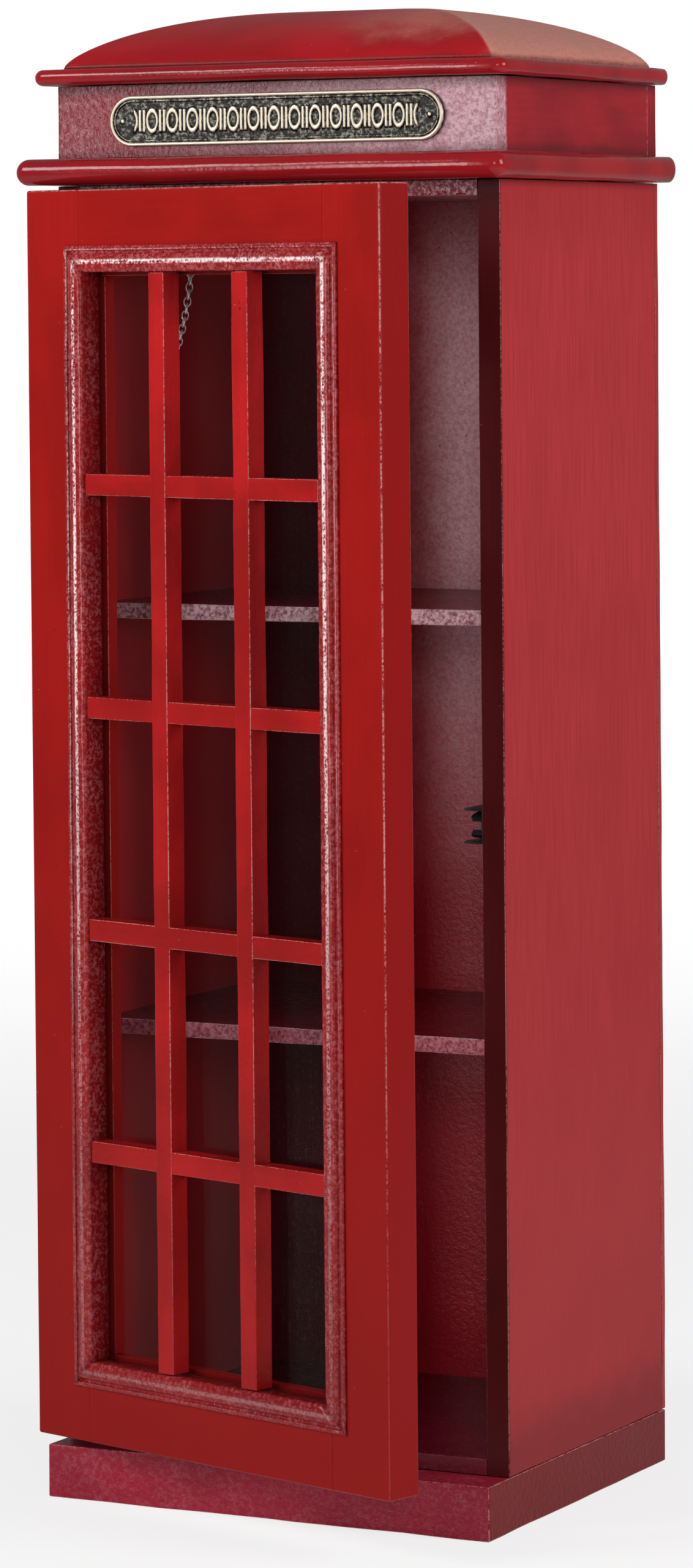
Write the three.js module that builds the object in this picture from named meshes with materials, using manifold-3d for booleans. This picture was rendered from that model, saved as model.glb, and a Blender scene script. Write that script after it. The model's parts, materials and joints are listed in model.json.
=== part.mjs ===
// A small wooden cabinet in the shape of a British street telephone booth.
// A carcass of painted boards stands on a solid base slab and carries two cornices, a frieze
// with a cast plaque, and a shallow domed roof. A glazed door hangs on two butt hinges at the
// left, is held shut by a two-jawed spring catch, and is stayed by a light chain.
// Millimetres, +Z up. The origin is the centre of the base slab's underside; the front faces -Y.
import * as THREE from "three";
import { mergeVertices } from "three/addons/utils/BufferGeometryUtils.js";
import Module from "manifold-3d";

const wasm = await Module();
wasm.setup();

// ---------------------------------------------------------------- driving dimensions
// Clearances
const GLUE_LINE = 0.2; // between faces that are glued, nailed or laid against each other
const FIT_GAP = 0.3; // round a piece that is let into another

// Carcass
const BODY_WIDTH = 300;
const BODY_DEPTH = 228; // front of the side panels to the back panel's rear face
const CARCASS_HEIGHT = 769; // top of the base slab to the underside of the lower cornice
const SIDE_THICKNESS = 15;
const BOARD_THICKNESS = 10; // top board, bottom board and shelves
const BACK_THICKNESS = 5;
const BASE_HEIGHT = 33;
const BASE_PROUD = 28; // how far the base slab stands out in front of the body

// Shelves
const LOWER_CLEAR = 237.5; // clear height under the lower shelf
const MIDDLE_CLEAR = 246; // clear height between the shelves
const SHELF_SETBACK = 18; // shelf front behind the body's front
const HOUSING_DEPTH = 5; // groove in each side panel that a shelf end slides into

// Cornices, frieze and roof
const LOWER_CORNICE = { thickness: 16, side: 15, front: 30 };
const UPPER_CORNICE = { thickness: 10, side: 11, front: 14 };
const CORNICE_CORNER = 2.5;
const FRIEZE_HEIGHT = 45;
const FRIEZE_INSET = 1; // frieze sides inside the body's sides
const FRIEZE_PROUD = 1; // frieze front in front of the body's front
const FRIEZE_THICKNESS = 13;
const ROOF_INSET = 2; // roof edge inside the frieze
const ROOF_RISE = 36;
const ROOF_LEVELS = 14;

// Plaque
const PLAQUE_WIDTH = 226;
const PLAQUE_HEIGHT = 31;
const PLAQUE_THICKNESS = 3;
const PLAQUE_RIM = 2.6;
const PLAQUE_SUNK = 1.1;
const PLAQUE_OFFSET = 2; // the plaque hangs a little right of centre

// Door
const DOOR_THICKNESS = 25;
const DOOR_REVEAL = 1; // body edge left showing beside the closed door, each side
const DOOR_GAP = 2.4; // closed door's back to the body's front, filled by the hinge leaves
const DOOR_BOTTOM_GAP = 6;
const DOOR_TOP_GAP = 3;
const DOOR_OPEN_DEG = 17; // how far the door stands open at rest
const FRAME_WIDTH = 46; // stiles and rails
const TENON_LENGTH = 14;
const TENON_THICKNESS = 9;
const BEAD_WIDTH = 16; // mitred moulding planted on the inner edge of the frame
const BEAD_HEIGHT = 3; // how far it stands above the door's face
const BEAD_LIP = 4; // its lip inside the frame opening
const GLASS_THICKNESS = 3;
const GLASS_DEPTH = 13; // door's face to the front of the glass
const GLASS_EDGE_GAP = 1.5;
const STOP_WIDTH = 6;
const BAR_WIDTH = 13.5;
const BAR_PROUD = 1; // glazing bars in front of the door's face
const PANE_COLUMNS = 3;
const PANE_ROWS = 5;

// Hinges
const HINGE_HEIGHT = 50;
const HINGE_INSET = 70; // hinge centre from the door's top and bottom
const LEAF_THICKNESS = 1;
const LEAF_WIDTH = 13;
const KNUCKLE_RADIUS = 2.4;
const PIN_RADIUS = 1;
const PIN_CLEARANCE = 0.2;
const SCREW_SPREAD = 16; // screws above and below the hinge's centre
const SCREW = { head: 2.1, shank: 1, length: 11 };

// Spring catch and its strike
const CATCH = { height: 21, depth: 24, width: 13, plate: 1.5, setback: 3 };
const JAW = { length: 17, height: 5, width: 7, pivotRise: 6.2, nose: 1.2, taper: 1.8, trunnion: 1.1 };
const STRIKE = { plateHeight: 20, plateWidth: 10, plate: 1.2, reach: 16, tongue: 2.2, head: 4.2, width: 5 };
const STRIKE_PLAY = 0.4; // between the strike's head and each jaw

// Stay chain
const CHAIN_RADIUS = 85; // both eyes' distance from the hinge pins
const CHAIN_BACK_DEG = 22; // the top board's eye, turned back from the closed door
const CHAIN_LEG = 80; // half of the chain
const CHAIN_BEND_DEG = 40; // how much each half curves
const CHAIN_THICKNESS = 3.4;
const CHAIN_END_GAP = 3; // each half stops this short of the middle
const EYE = { radius: 4.4, wire: 0.6, standoff: 7.5, shank: 9 };
const LINK = { radius: 3.4, wire: 0.55, stretch: 1.15, play: 0.8 };
const DOOR_LINK_TURN_DEG = 12; // the door's end link stands turned from the chain's plane at rest

// ---------------------------------------------------------------- derived places
const BASE_DEPTH = BODY_DEPTH + BASE_PROUD;
const HALF_WIDTH = BODY_WIDTH / 2;
const BACK_Y = BASE_DEPTH / 2;
const FRONT_Y = BACK_Y - BODY_DEPTH;
const PANEL_BACK_Y = BACK_Y - BACK_THICKNESS;
const INNER_X = HALF_WIDTH - SIDE_THICKNESS;
const CARCASS_TOP = BASE_HEIGHT + CARCASS_HEIGHT;
const CEILING_Z = CARCASS_TOP - BOARD_THICKNESS;
const FLOOR_Z = BASE_HEIGHT + BOARD_THICKNESS;
const LOWER_SHELF_Z = FLOOR_Z + LOWER_CLEAR;
const UPPER_SHELF_Z = LOWER_SHELF_Z + BOARD_THICKNESS + MIDDLE_CLEAR;
const FRIEZE_Z = CARCASS_TOP + LOWER_CORNICE.thickness;
const UPPER_CORNICE_Z = FRIEZE_Z + FRIEZE_HEIGHT;
const ROOF_Z = UPPER_CORNICE_Z + UPPER_CORNICE.thickness;
const FRIEZE_X = HALF_WIDTH - FRIEZE_INSET;
const FRIEZE_FRONT_Y = FRONT_Y - FRIEZE_PROUD;

// The door's own frame has the hinge pins at x = y = 0 and the closed door along +X.
const PIN_X = -HALF_WIDTH - KNUCKLE_RADIUS - GLUE_LINE;
const PIN_Y = FRONT_Y - DOOR_GAP / 2;
const DOOR_WIDTH = BODY_WIDTH - 2 * DOOR_REVEAL;
const DOOR_LEFT = -HALF_WIDTH + DOOR_REVEAL - PIN_X;
const DOOR_RIGHT = DOOR_LEFT + DOOR_WIDTH;
const DOOR_BACK = -DOOR_GAP / 2;
const DOOR_FACE = DOOR_BACK - DOOR_THICKNESS;
const DOOR_BOTTOM = BASE_HEIGHT + DOOR_BOTTOM_GAP;
const DOOR_TOP = CARCASS_TOP - DOOR_TOP_GAP;
const DOOR_MIDDLE = (DOOR_BOTTOM + DOOR_TOP) / 2;
const SIGHT = FRAME_WIDTH + BEAD_LIP; // door edge to daylight
const SIGHT_LEFT = DOOR_LEFT + SIGHT;
const SIGHT_RIGHT = DOOR_RIGHT - SIGHT;
const SIGHT_BOTTOM = DOOR_BOTTOM + SIGHT;
const SIGHT_TOP = DOOR_TOP - SIGHT;
const GLASS_FRONT = DOOR_FACE + GLASS_DEPTH;
const HINGE_HEIGHTS = { lower: DOOR_BOTTOM + HINGE_INSET, upper: DOOR_TOP - HINGE_INSET };

// ---------------------------------------------------------------- solids
function toSolid(geometry) {
  const bare = geometry.clone();
  bare.deleteAttribute("normal");
  bare.deleteAttribute("uv");
  const merged = mergeVertices(bare, 1e-4);
  const vertProperties = merged.attributes.position.array;
  return new wasm.Manifold(
    new wasm.Mesh({ numProp: 3, vertProperties, triVerts: new Uint32Array(merged.index.array) }),
  );
}

function toGeometry(solid) {
  const mesh = solid.getMesh();
  const geometry = new THREE.BufferGeometry();
  geometry.setAttribute("position", new THREE.BufferAttribute(mesh.vertProperties, 3));
  geometry.setIndex(new THREE.BufferAttribute(mesh.triVerts, 1));
  const flat = geometry.toNonIndexed();
  flat.computeVertexNormals();
  return flat;
}

// A box between two opposite corners.
function block([x0, y0, z0], [x1, y1, z1]) {
  const box = new THREE.BoxGeometry(x1 - x0, y1 - y0, z1 - z0);
  return box.translate((x0 + x1) / 2, (y0 + y1) / 2, (z0 + z1) / 2);
}

// A cylinder from one point along an axis, "x", "y" or "z".
function rod([x, y, z], axis, length, radius, endRadius = radius, sides = 20) {
  const cylinder = new THREE.CylinderGeometry(endRadius, radius, length, sides);
  cylinder.translate(0, length / 2, 0);
  if (axis === "x") cylinder.rotateZ(-Math.PI / 2);
  if (axis === "z") cylinder.rotateX(Math.PI / 2);
  return cylinder.translate(x, y, z);
}

const joined = (...parts) => parts.map(toSolid).reduce((sum, part) => sum.add(part));
const cut = (solid, ...tools) => tools.map(toSolid).reduce((left, tool) => left.subtract(tool), solid);
const mirroredX = (solid) => solid.mirror([1, 0, 0]);

// ---------------------------------------------------------------- materials
const paint = (color) => new THREE.MeshStandardMaterial({ color, roughness: 0.35, metalness: 0 });
const frontPaint = paint(0xa8231f);
const sidePaint = paint(0xa83c40);
const innerPaint = paint(0x55141c);
const steel = new THREE.MeshStandardMaterial({ color: 0xa9a9a6, roughness: 0.35, metalness: 1 });
const blackSteel = new THREE.MeshStandardMaterial({ color: 0x1d1b1c, roughness: 0.5, metalness: 0.6 });
const pewter = new THREE.MeshStandardMaterial({ color: 0x6f6a60, roughness: 0.45, metalness: 1 });
const clearGlass = new THREE.MeshStandardMaterial({
  color: 0xdfe8e6,
  roughness: 0.05,
  metalness: 0,
  transparent: true,
  opacity: 0.3,
});

const booth = new THREE.Group();
const door = new THREE.Group();
door.position.set(PIN_X, PIN_Y, 0);
door.rotation.z = THREE.MathUtils.degToRad(-DOOR_OPEN_DEG);
booth.add(door);

function place(parent, name, shape, material) {
  const geometry = shape.isBufferGeometry ? shape : toGeometry(shape);
  const mesh = new THREE.Mesh(geometry, material);
  mesh.name = name;
  parent.add(mesh);
}

// ---------------------------------------------------------------- carcass
// A hole for a wood screw or a screw eye, bored from a face into the wood.
const boreHole = (from, axis, depth, radius) => rod(from, axis, depth, radius + PIN_CLEARANCE);

function hingeScrewHoles(x, y, depth) {
  return Object.values(HINGE_HEIGHTS).flatMap((height) =>
    [-SCREW_SPREAD, SCREW_SPREAD].map((rise) => boreHole([x, y, height + rise], "y", depth, SCREW.shank)),
  );
}

function sidePanel() {
  const panel = block(
    [INNER_X, FRONT_Y, BASE_HEIGHT + GLUE_LINE],
    [HALF_WIDTH, PANEL_BACK_Y - GLUE_LINE, CARCASS_TOP - GLUE_LINE],
  );
  const housings = [LOWER_SHELF_Z, UPPER_SHELF_Z].map((height) =>
    block(
      [INNER_X - 1, FRONT_Y + SHELF_SETBACK - FIT_GAP, height - FIT_GAP],
      [INNER_X + HOUSING_DEPTH, PANEL_BACK_Y + 1, height + BOARD_THICKNESS + FIT_GAP],
    ),
  );
  return cut(toSolid(panel), ...housings);
}

const frameLeafX = PIN_X + KNUCKLE_RADIUS + LEAF_WIDTH / 2 + GLUE_LINE;
place(
  booth,
  "left_side_panel",
  cut(mirroredX(sidePanel()), ...hingeScrewHoles(frameLeafX, FRONT_Y - 1, SCREW.length + 2)),
  sidePaint,
);
const catchPivots = [-1, 1].map((side) => [
  INNER_X - CATCH.plate,
  FRONT_Y + CATCH.setback + JAW.length,
  DOOR_MIDDLE + side * JAW.pivotRise,
]);
place(booth, "right_side_panel", sidePanel(), sidePaint);

place(
  booth,
  "base_slab",
  block([-HALF_WIDTH, -BACK_Y, 0], [HALF_WIDTH, BACK_Y, BASE_HEIGHT]),
  frontPaint,
);

// The two boards that join the side panels at the top and bottom.
function crossBoard(height) {
  return block(
    [-INNER_X + GLUE_LINE, FRONT_Y, height + GLUE_LINE],
    [INNER_X - GLUE_LINE, PANEL_BACK_Y - GLUE_LINE, height + BOARD_THICKNESS - GLUE_LINE],
  );
}

const topEye = [
  PIN_X + CHAIN_RADIUS * Math.cos(THREE.MathUtils.degToRad(CHAIN_BACK_DEG)),
  PIN_Y + CHAIN_RADIUS * Math.sin(THREE.MathUtils.degToRad(CHAIN_BACK_DEG)),
];
const EYE_Z = CEILING_Z - EYE.standoff;
place(
  booth,
  "top_board",
  cut(toSolid(crossBoard(CEILING_Z)), boreHole([...topEye, CEILING_Z - 1], "z", EYE.shank, EYE.wire)),
  innerPaint,
);
place(booth, "bottom_board", crossBoard(BASE_HEIGHT), innerPaint);
place(
  booth,
  "back_panel",
  block([-HALF_WIDTH, PANEL_BACK_Y, BASE_HEIGHT + GLUE_LINE], [HALF_WIDTH, BACK_Y, CARCASS_TOP - GLUE_LINE]),
  innerPaint,
);

for (const [name, height] of [["lower_shelf", LOWER_SHELF_Z], ["upper_shelf", UPPER_SHELF_Z]]) {
  const reach = INNER_X + HOUSING_DEPTH - FIT_GAP;
  const back = PANEL_BACK_Y - GLUE_LINE;
  const board = block([-reach, FRONT_Y + SHELF_SETBACK, height], [reach, back, height + BOARD_THICKNESS]);
  place(booth, name, board, innerPaint);
}

// ---------------------------------------------------------------- cornices, frieze and roof
// A slab with a half-round edge at the front and sides, and a square edge at the back.
function corniceSlab({ thickness, side, front }, width, faceY, bottom) {
  const nose = thickness / 2 - GLUE_LINE / 2;
  const x = width + side - nose;
  const y = faceY - front + nose;
  const past = BACK_Y + thickness;
  const r = CORNICE_CORNER;
  const outline = new THREE.Shape();
  outline.moveTo(-x + r, y);
  outline.lineTo(x - r, y);
  outline.absarc(x - r, y + r, r, -Math.PI / 2, 0, false);
  outline.lineTo(x, past);
  outline.lineTo(-x, past);
  outline.lineTo(-x, y + r);
  outline.absarc(-x + r, y + r, r, Math.PI, (3 * Math.PI) / 2, false);
  const flat = 0.2; // the middle of the edge
  const slab = new THREE.ExtrudeGeometry(outline, {
    depth: flat,
    bevelThickness: nose - flat / 2,
    bevelSize: nose,
    bevelOffset: 0,
    bevelSegments: 5,
    curveSegments: 3,
  });
  slab.translate(0, 0, bottom + thickness / 2 - flat / 2);
  const reach = width + side + 1;
  const rear = block([-reach, BACK_Y, bottom - 1], [reach, past + thickness, bottom + thickness + 1]);
  return cut(toSolid(slab), rear);
}

place(booth, "lower_cornice", corniceSlab(LOWER_CORNICE, HALF_WIDTH, FRONT_Y, CARCASS_TOP), frontPaint);
place(
  booth,
  "upper_cornice",
  corniceSlab(UPPER_CORNICE, FRIEZE_X, FRIEZE_FRONT_Y, UPPER_CORNICE_Z),
  frontPaint,
);

const friezeBottom = FRIEZE_Z + GLUE_LINE;
const friezeTop = UPPER_CORNICE_Z - GLUE_LINE;
const friezeBoards = {
  frieze_front_board: [FRIEZE_FRONT_Y, FRIEZE_FRONT_Y + FRIEZE_THICKNESS],
  frieze_back_board: [BACK_Y - FRIEZE_THICKNESS, BACK_Y],
};
for (const [name, [near, far]] of Object.entries(friezeBoards))
  place(booth, name, block([-FRIEZE_X, near, friezeBottom], [FRIEZE_X, far, friezeTop]), frontPaint);
for (const [name, side] of [["frieze_left_board", -1], ["frieze_right_board", 1]]) {
  const near = FRIEZE_FRONT_Y + FRIEZE_THICKNESS + GLUE_LINE;
  const far = BACK_Y - FRIEZE_THICKNESS - GLUE_LINE;
  const board = block([-FRIEZE_THICKNESS / 2, near, friezeBottom], [FRIEZE_THICKNESS / 2, far, friezeTop]);
  place(booth, name, board.translate(side * (FRIEZE_X - FRIEZE_THICKNESS / 2), 0, 0), sidePaint);
}

// The roof rises on a quarter superellipse from all four edges to a flat-topped ridge.
function domedRoof() {
  const halfX = FRIEZE_X - ROOF_INSET;
  const nearY = FRIEZE_FRONT_Y + ROOF_INSET;
  const farY = BACK_Y - ROOF_INSET;
  const halfY = (farY - nearY) / 2;
  const middleY = (farY + nearY) / 2;
  const ridge = 1; // half the ridge's flat
  const points = [];
  const faces = [];
  for (let level = 0; level <= ROOF_LEVELS; level++) {
    const run = 1 - Math.cos((level / ROOF_LEVELS) * (Math.PI / 2));
    const inset = run * (halfY - ridge);
    const rise = ROOF_RISE * (1 - (1 - run) ** 2) ** (1 / 1.6);
    const x = halfX - inset;
    const y = halfY - inset;
    const z = ROOF_Z + GLUE_LINE + rise;
    points.push([-x, middleY - y, z], [x, middleY - y, z], [x, middleY + y, z], [-x, middleY + y, z]);
  }
  for (let level = 0; level < ROOF_LEVELS; level++)
    for (let side = 0; side < 4; side++) {
      const a = level * 4 + side;
      const b = level * 4 + ((side + 1) % 4);
      faces.push(a, b, b + 4, a, b + 4, a + 4);
    }
  const top = ROOF_LEVELS * 4;
  faces.push(0, 2, 1, 0, 3, 2, top, top + 1, top + 2, top, top + 2, top + 3);
  const roof = new THREE.BufferGeometry();
  roof.setAttribute("position", new THREE.Float32BufferAttribute(points.flat(), 3));
  roof.setIndex(faces);
  return toSolid(roof);
}
place(booth, "roof", domedRoof(), frontPaint);

// ---------------------------------------------------------------- plaque
function stadium(width, height) {
  const r = height / 2;
  const x = width / 2 - r;
  const outline = new THREE.Shape();
  outline.moveTo(-x, -r);
  outline.lineTo(x, -r);
  outline.absarc(x, 0, r, -Math.PI / 2, Math.PI / 2, false);
  outline.lineTo(-x, r);
  outline.absarc(-x, 0, r, Math.PI / 2, (3 * Math.PI) / 2, false);
  return outline;
}

function plaque() {
  const plate = (inset, depth) =>
    new THREE.ExtrudeGeometry(stadium(PLAQUE_WIDTH - 2 * inset, PLAQUE_HEIGHT - 2 * inset), {
      depth,
      bevelEnabled: false,
      curveSegments: 14,
    });
  const body = plate(0, PLAQUE_THICKNESS);
  const sunk = plate(PLAQUE_RIM, PLAQUE_SUNK + 1).translate(0, 0, PLAQUE_THICKNESS - PLAQUE_SUNK);
  const height = FRIEZE_Z + FRIEZE_HEIGHT / 2;
  return cut(toSolid(body), sunk)
    .rotate([90, 0, 0])
    .translate([PLAQUE_OFFSET, FRIEZE_FRONT_Y - GLUE_LINE, height]);
}
place(booth, "plaque", plaque(), pewter);

// ---------------------------------------------------------------- hinges
// A leaf with its knuckles, pinned at x = y = 0, lying along +X. Its face is turned to -Y.
function hingeLeaf(centre, knuckles) {
  const half = HINGE_HEIGHT / 2;
  const near = LEAF_WIDTH + KNUCKLE_RADIUS + GLUE_LINE;
  const faceY = DOOR_GAP / 2 - LEAF_THICKNESS - GLUE_LINE / 2;
  const plate = block([0, faceY, centre - half], [near, faceY + LEAF_THICKNESS, centre + half]);
  const barrel = rod([0, 0, centre - half], "z", HINGE_HEIGHT, KNUCKLE_RADIUS);
  const bore = rod([0, 0, centre - half - 1], "z", HINGE_HEIGHT + 2, PIN_RADIUS + PIN_CLEARANCE);
  const reach = KNUCKLE_RADIUS + FIT_GAP;
  const gaps = [];
  for (let k = 0; k < 3; k++) {
    if (knuckles.includes(k)) continue;
    const low = centre - half + (k * HINGE_HEIGHT) / 3 - (k > 0 ? FIT_GAP / 2 : 1);
    const high = centre - half + ((k + 1) * HINGE_HEIGHT) / 3 + (k < 2 ? FIT_GAP / 2 : 1);
    gaps.push(block([-reach, -reach, low], [reach, reach, high]));
  }
  const x = near - LEAF_WIDTH / 2;
  const holes = [-SCREW_SPREAD, SCREW_SPREAD].map((rise) =>
    rod(
      [x, faceY - FIT_GAP, centre + rise],
      "y",
      LEAF_THICKNESS + 2 * FIT_GAP,
      SCREW.head + PIN_CLEARANCE + FIT_GAP,
      SCREW.shank + PIN_CLEARANCE,
    ),
  );
  return cut(joined(plate, barrel), bore, ...gaps, ...holes);
}

// A countersunk wood screw, its head at the origin facing -Y.
function woodScrew() {
  const { head, shank, length } = SCREW;
  const outline = [
    [0, 0],
    [head, 0],
    [shank, LEAF_THICKNESS],
    [shank, length - 2],
    [0, length],
  ].map(([x, y]) => new THREE.Vector2(x, y));
  return toSolid(new THREE.LatheGeometry(outline, 20));
}

const leafFaceY = DOOR_GAP / 2 - LEAF_THICKNESS - GLUE_LINE / 2;
const leafMiddleX = KNUCKLE_RADIUS + GLUE_LINE + LEAF_WIDTH / 2;
for (const [level, centre] of Object.entries(HINGE_HEIGHTS)) {
  place(booth, `${level}_hinge_frame_leaf`, hingeLeaf(centre, [0, 2]).translate([PIN_X, PIN_Y, 0]), steel);
  place(door, `${level}_hinge_door_leaf`, hingeLeaf(centre, [1]).mirror([0, 1, 0]), steel);
  const pin = rod([PIN_X, PIN_Y, centre - HINGE_HEIGHT / 2], "z", HINGE_HEIGHT, PIN_RADIUS);
  place(booth, `${level}_hinge_pin`, pin, steel);
  for (const [end, rise] of [["bottom", -SCREW_SPREAD], ["top", SCREW_SPREAD]]) {
    const screw = woodScrew();
    const frameScrew = screw.translate([PIN_X + leafMiddleX, PIN_Y + leafFaceY, centre + rise]);
    place(booth, `${level}_frame_screw_${end}`, frameScrew, steel);
    const doorScrew = screw.mirror([0, 1, 0]).translate([leafMiddleX, -leafFaceY, centre + rise]);
    place(door, `${level}_door_screw_${end}`, doorScrew, steel);
  }
}

// ---------------------------------------------------------------- door frame
const tenonNear = DOOR_BACK - DOOR_THICKNESS / 2 - TENON_THICKNESS / 2;
const tenonFar = tenonNear + TENON_THICKNESS;
const RAILS = {
  door_bottom_rail: [DOOR_BOTTOM, DOOR_BOTTOM + FRAME_WIDTH],
  door_top_rail: [DOOR_TOP - FRAME_WIDTH, DOOR_TOP],
};
const TENON_SHOULDER = 8; // solid wood kept above and below each tenon

function doorRail([low, high]) {
  const left = DOOR_LEFT + FRAME_WIDTH + GLUE_LINE;
  const right = DOOR_RIGHT - FRAME_WIDTH - GLUE_LINE;
  const rail = block([left, DOOR_FACE, low], [right, DOOR_BACK, high]);
  const tenon = block(
    [left - TENON_LENGTH, tenonNear, low + TENON_SHOULDER],
    [right + TENON_LENGTH, tenonFar, high - TENON_SHOULDER],
  );
  return joined(rail, tenon);
}

function doorStile(left) {
  const right = left + FRAME_WIDTH;
  const mortises = Object.values(RAILS).map(([low, high]) => {
    const deep = TENON_LENGTH + FIT_GAP;
    const inner = left === DOOR_LEFT ? [right - deep, right + 1] : [left - 1, left + deep];
    return block(
      [inner[0], tenonNear - FIT_GAP, low + TENON_SHOULDER - FIT_GAP],
      [inner[1], tenonFar + FIT_GAP, high - TENON_SHOULDER + FIT_GAP],
    );
  });
  return cut(toSolid(block([left, DOOR_FACE, DOOR_BOTTOM], [right, DOOR_BACK, DOOR_TOP])), ...mortises);
}

const doorScrewHoles = Object.values(HINGE_HEIGHTS).flatMap((centre) =>
  [-SCREW_SPREAD, SCREW_SPREAD].map((rise) =>
    boreHole([leafMiddleX, DOOR_BACK - SCREW.length, centre + rise], "y", SCREW.length + 2, SCREW.shank),
  ),
);
place(door, "door_hinge_stile", cut(doorStile(DOOR_LEFT), ...doorScrewHoles), frontPaint);
place(door, "door_closing_stile", doorStile(DOOR_RIGHT - FRAME_WIDTH), frontPaint);

const doorEye = [
  Math.sqrt(CHAIN_RADIUS ** 2 - (DOOR_BACK + EYE.standoff) ** 2),
  DOOR_BACK + EYE.standoff,
];
for (const [name, span] of Object.entries(RAILS)) {
  const eyeHole = boreHole([doorEye[0], DOOR_BACK - EYE.shank, EYE_Z], "y", EYE.shank + 1, EYE.wire);
  place(door, name, name === "door_top_rail" ? cut(doorRail(span), eyeHole) : doorRail(span), frontPaint);
}

// ---------------------------------------------------------------- bead moulding
// Section of the moulding: x runs from its outer edge towards the daylight, y away from the glass.
// A narrow fillet, a hollow, and a fat round bead, then the lip down to the glass.
function beadSection() {
  const section = new THREE.Shape();
  const lipBack = -GLASS_DEPTH + GLUE_LINE;
  const rabbet = BEAD_WIDTH - BEAD_LIP + GLUE_LINE;
  const fillet = BEAD_WIDTH * 0.12;
  const hollow = BEAD_WIDTH * 0.32;
  section.moveTo(0, GLUE_LINE);
  section.lineTo(0, BEAD_HEIGHT * 0.5);
  section.lineTo(fillet, BEAD_HEIGHT * 0.5);
  section.lineTo(hollow, BEAD_HEIGHT * 0.2);
  const bead = (BEAD_WIDTH - hollow) / 2;
  for (let step = 0; step <= 8; step++) {
    const turn = Math.PI * (1 - step / 8);
    section.lineTo(hollow + bead + bead * Math.cos(turn), BEAD_HEIGHT * (0.2 + 0.8 * Math.sin(turn)));
  }
  section.lineTo(BEAD_WIDTH, lipBack);
  section.lineTo(rabbet, lipBack);
  section.lineTo(rabbet, GLUE_LINE);
  return section;
}

// A length of moulding along +Z with its ends mitred: it is full length at its outer edge.
function mitredBead(length) {
  const bead = new THREE.ExtrudeGeometry(beadSection(), { depth: length, bevelEnabled: false });
  const position = bead.getAttribute("position");
  for (let i = 0; i < position.count; i++) {
    const inward = position.getX(i) + GLUE_LINE / 2;
    const z = position.getZ(i);
    position.setZ(i, z < length / 2 ? z + inward : z - inward);
  }
  return toSolid(bead);
}

const beadLeft = SIGHT_LEFT - BEAD_WIDTH;
const beadRight = SIGHT_RIGHT + BEAD_WIDTH;
const beadBottom = SIGHT_BOTTOM - BEAD_WIDTH;
const beadTop = SIGHT_TOP + BEAD_WIDTH;
// Each is laid with its section's height turned towards the front, which is -Y.
const uprightBead = mitredBead(beadTop - beadBottom).mirror([0, 1, 0]);
const levelBead = mitredBead(beadRight - beadLeft).mirror([0, 1, 0]);
place(door, "left_bead", uprightBead.translate([beadLeft, DOOR_FACE, beadBottom]), frontPaint);
place(door, "right_bead", mirroredX(uprightBead).translate([beadRight, DOOR_FACE, beadBottom]), frontPaint);
place(
  door,
  "bottom_bead",
  levelBead.rotate([0, 90, 0]).mirror([0, 0, 1]).translate([beadLeft, DOOR_FACE, beadBottom]),
  frontPaint,
);
place(door, "top_bead", levelBead.rotate([0, 90, 0]).translate([beadLeft, DOOR_FACE, beadTop]), frontPaint);

// ---------------------------------------------------------------- glazing
const barFront = DOOR_FACE - BAR_PROUD;
const barBack = GLASS_FRONT - GLUE_LINE;
const barMiddle = (barFront + barBack) / 2;
const columnPitch = (SIGHT_RIGHT - SIGHT_LEFT + BAR_WIDTH) / PANE_COLUMNS;
const rowPitch = (SIGHT_TOP - SIGHT_BOTTOM + BAR_WIDTH) / PANE_ROWS;
const uprightAt = (column) => SIGHT_LEFT + column * columnPitch - BAR_WIDTH / 2;
const levelAt = (row) => SIGHT_BOTTOM + row * rowPitch - BAR_WIDTH / 2;
const columns = Array.from({ length: PANE_COLUMNS - 1 }, (_, index) => index + 1);
const rows = Array.from({ length: PANE_ROWS - 1 }, (_, index) => index + 1);
const half = BAR_WIDTH / 2;

// Uprights and cross bars are halved together where they cross.
for (const column of columns) {
  const x = uprightAt(column);
  const bar = block([x - half, barFront, SIGHT_BOTTOM + FIT_GAP], [x + half, barBack, SIGHT_TOP - FIT_GAP]);
  const notches = rows.map((row) => {
    const z = levelAt(row);
    const reach = half + FIT_GAP / 2;
    return block([x - half - 1, barFront - 1, z - reach], [x + half + 1, barMiddle + FIT_GAP / 2, z + reach]);
  });
  place(door, `upright_glazing_bar_${column}`, cut(toSolid(bar), ...notches), frontPaint);
}
for (const row of rows) {
  const z = levelAt(row);
  const bar = block([SIGHT_LEFT + FIT_GAP, barFront, z - half], [SIGHT_RIGHT - FIT_GAP, barBack, z + half]);
  const notches = columns.map((column) => {
    const x = uprightAt(column);
    const reach = half + FIT_GAP / 2;
    return block([x - reach, barMiddle - FIT_GAP / 2, z - half - 1], [x + reach, barBack + 1, z + half + 1]);
  });
  place(door, `cross_glazing_bar_${row}`, cut(toSolid(bar), ...notches), frontPaint);
}

const glassLeft = DOOR_LEFT + FRAME_WIDTH + GLASS_EDGE_GAP;
const glassRight = DOOR_RIGHT - FRAME_WIDTH - GLASS_EDGE_GAP;
const glassBottom = DOOR_BOTTOM + FRAME_WIDTH + GLASS_EDGE_GAP;
const glassTop = DOOR_TOP - FRAME_WIDTH - GLASS_EDGE_GAP;
const glassBack = GLASS_FRONT + GLASS_THICKNESS;
place(
  door,
  "glass_pane",
  block([glassLeft, GLASS_FRONT, glassBottom], [glassRight, glassBack, glassTop]),
  clearGlass,
);

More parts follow.
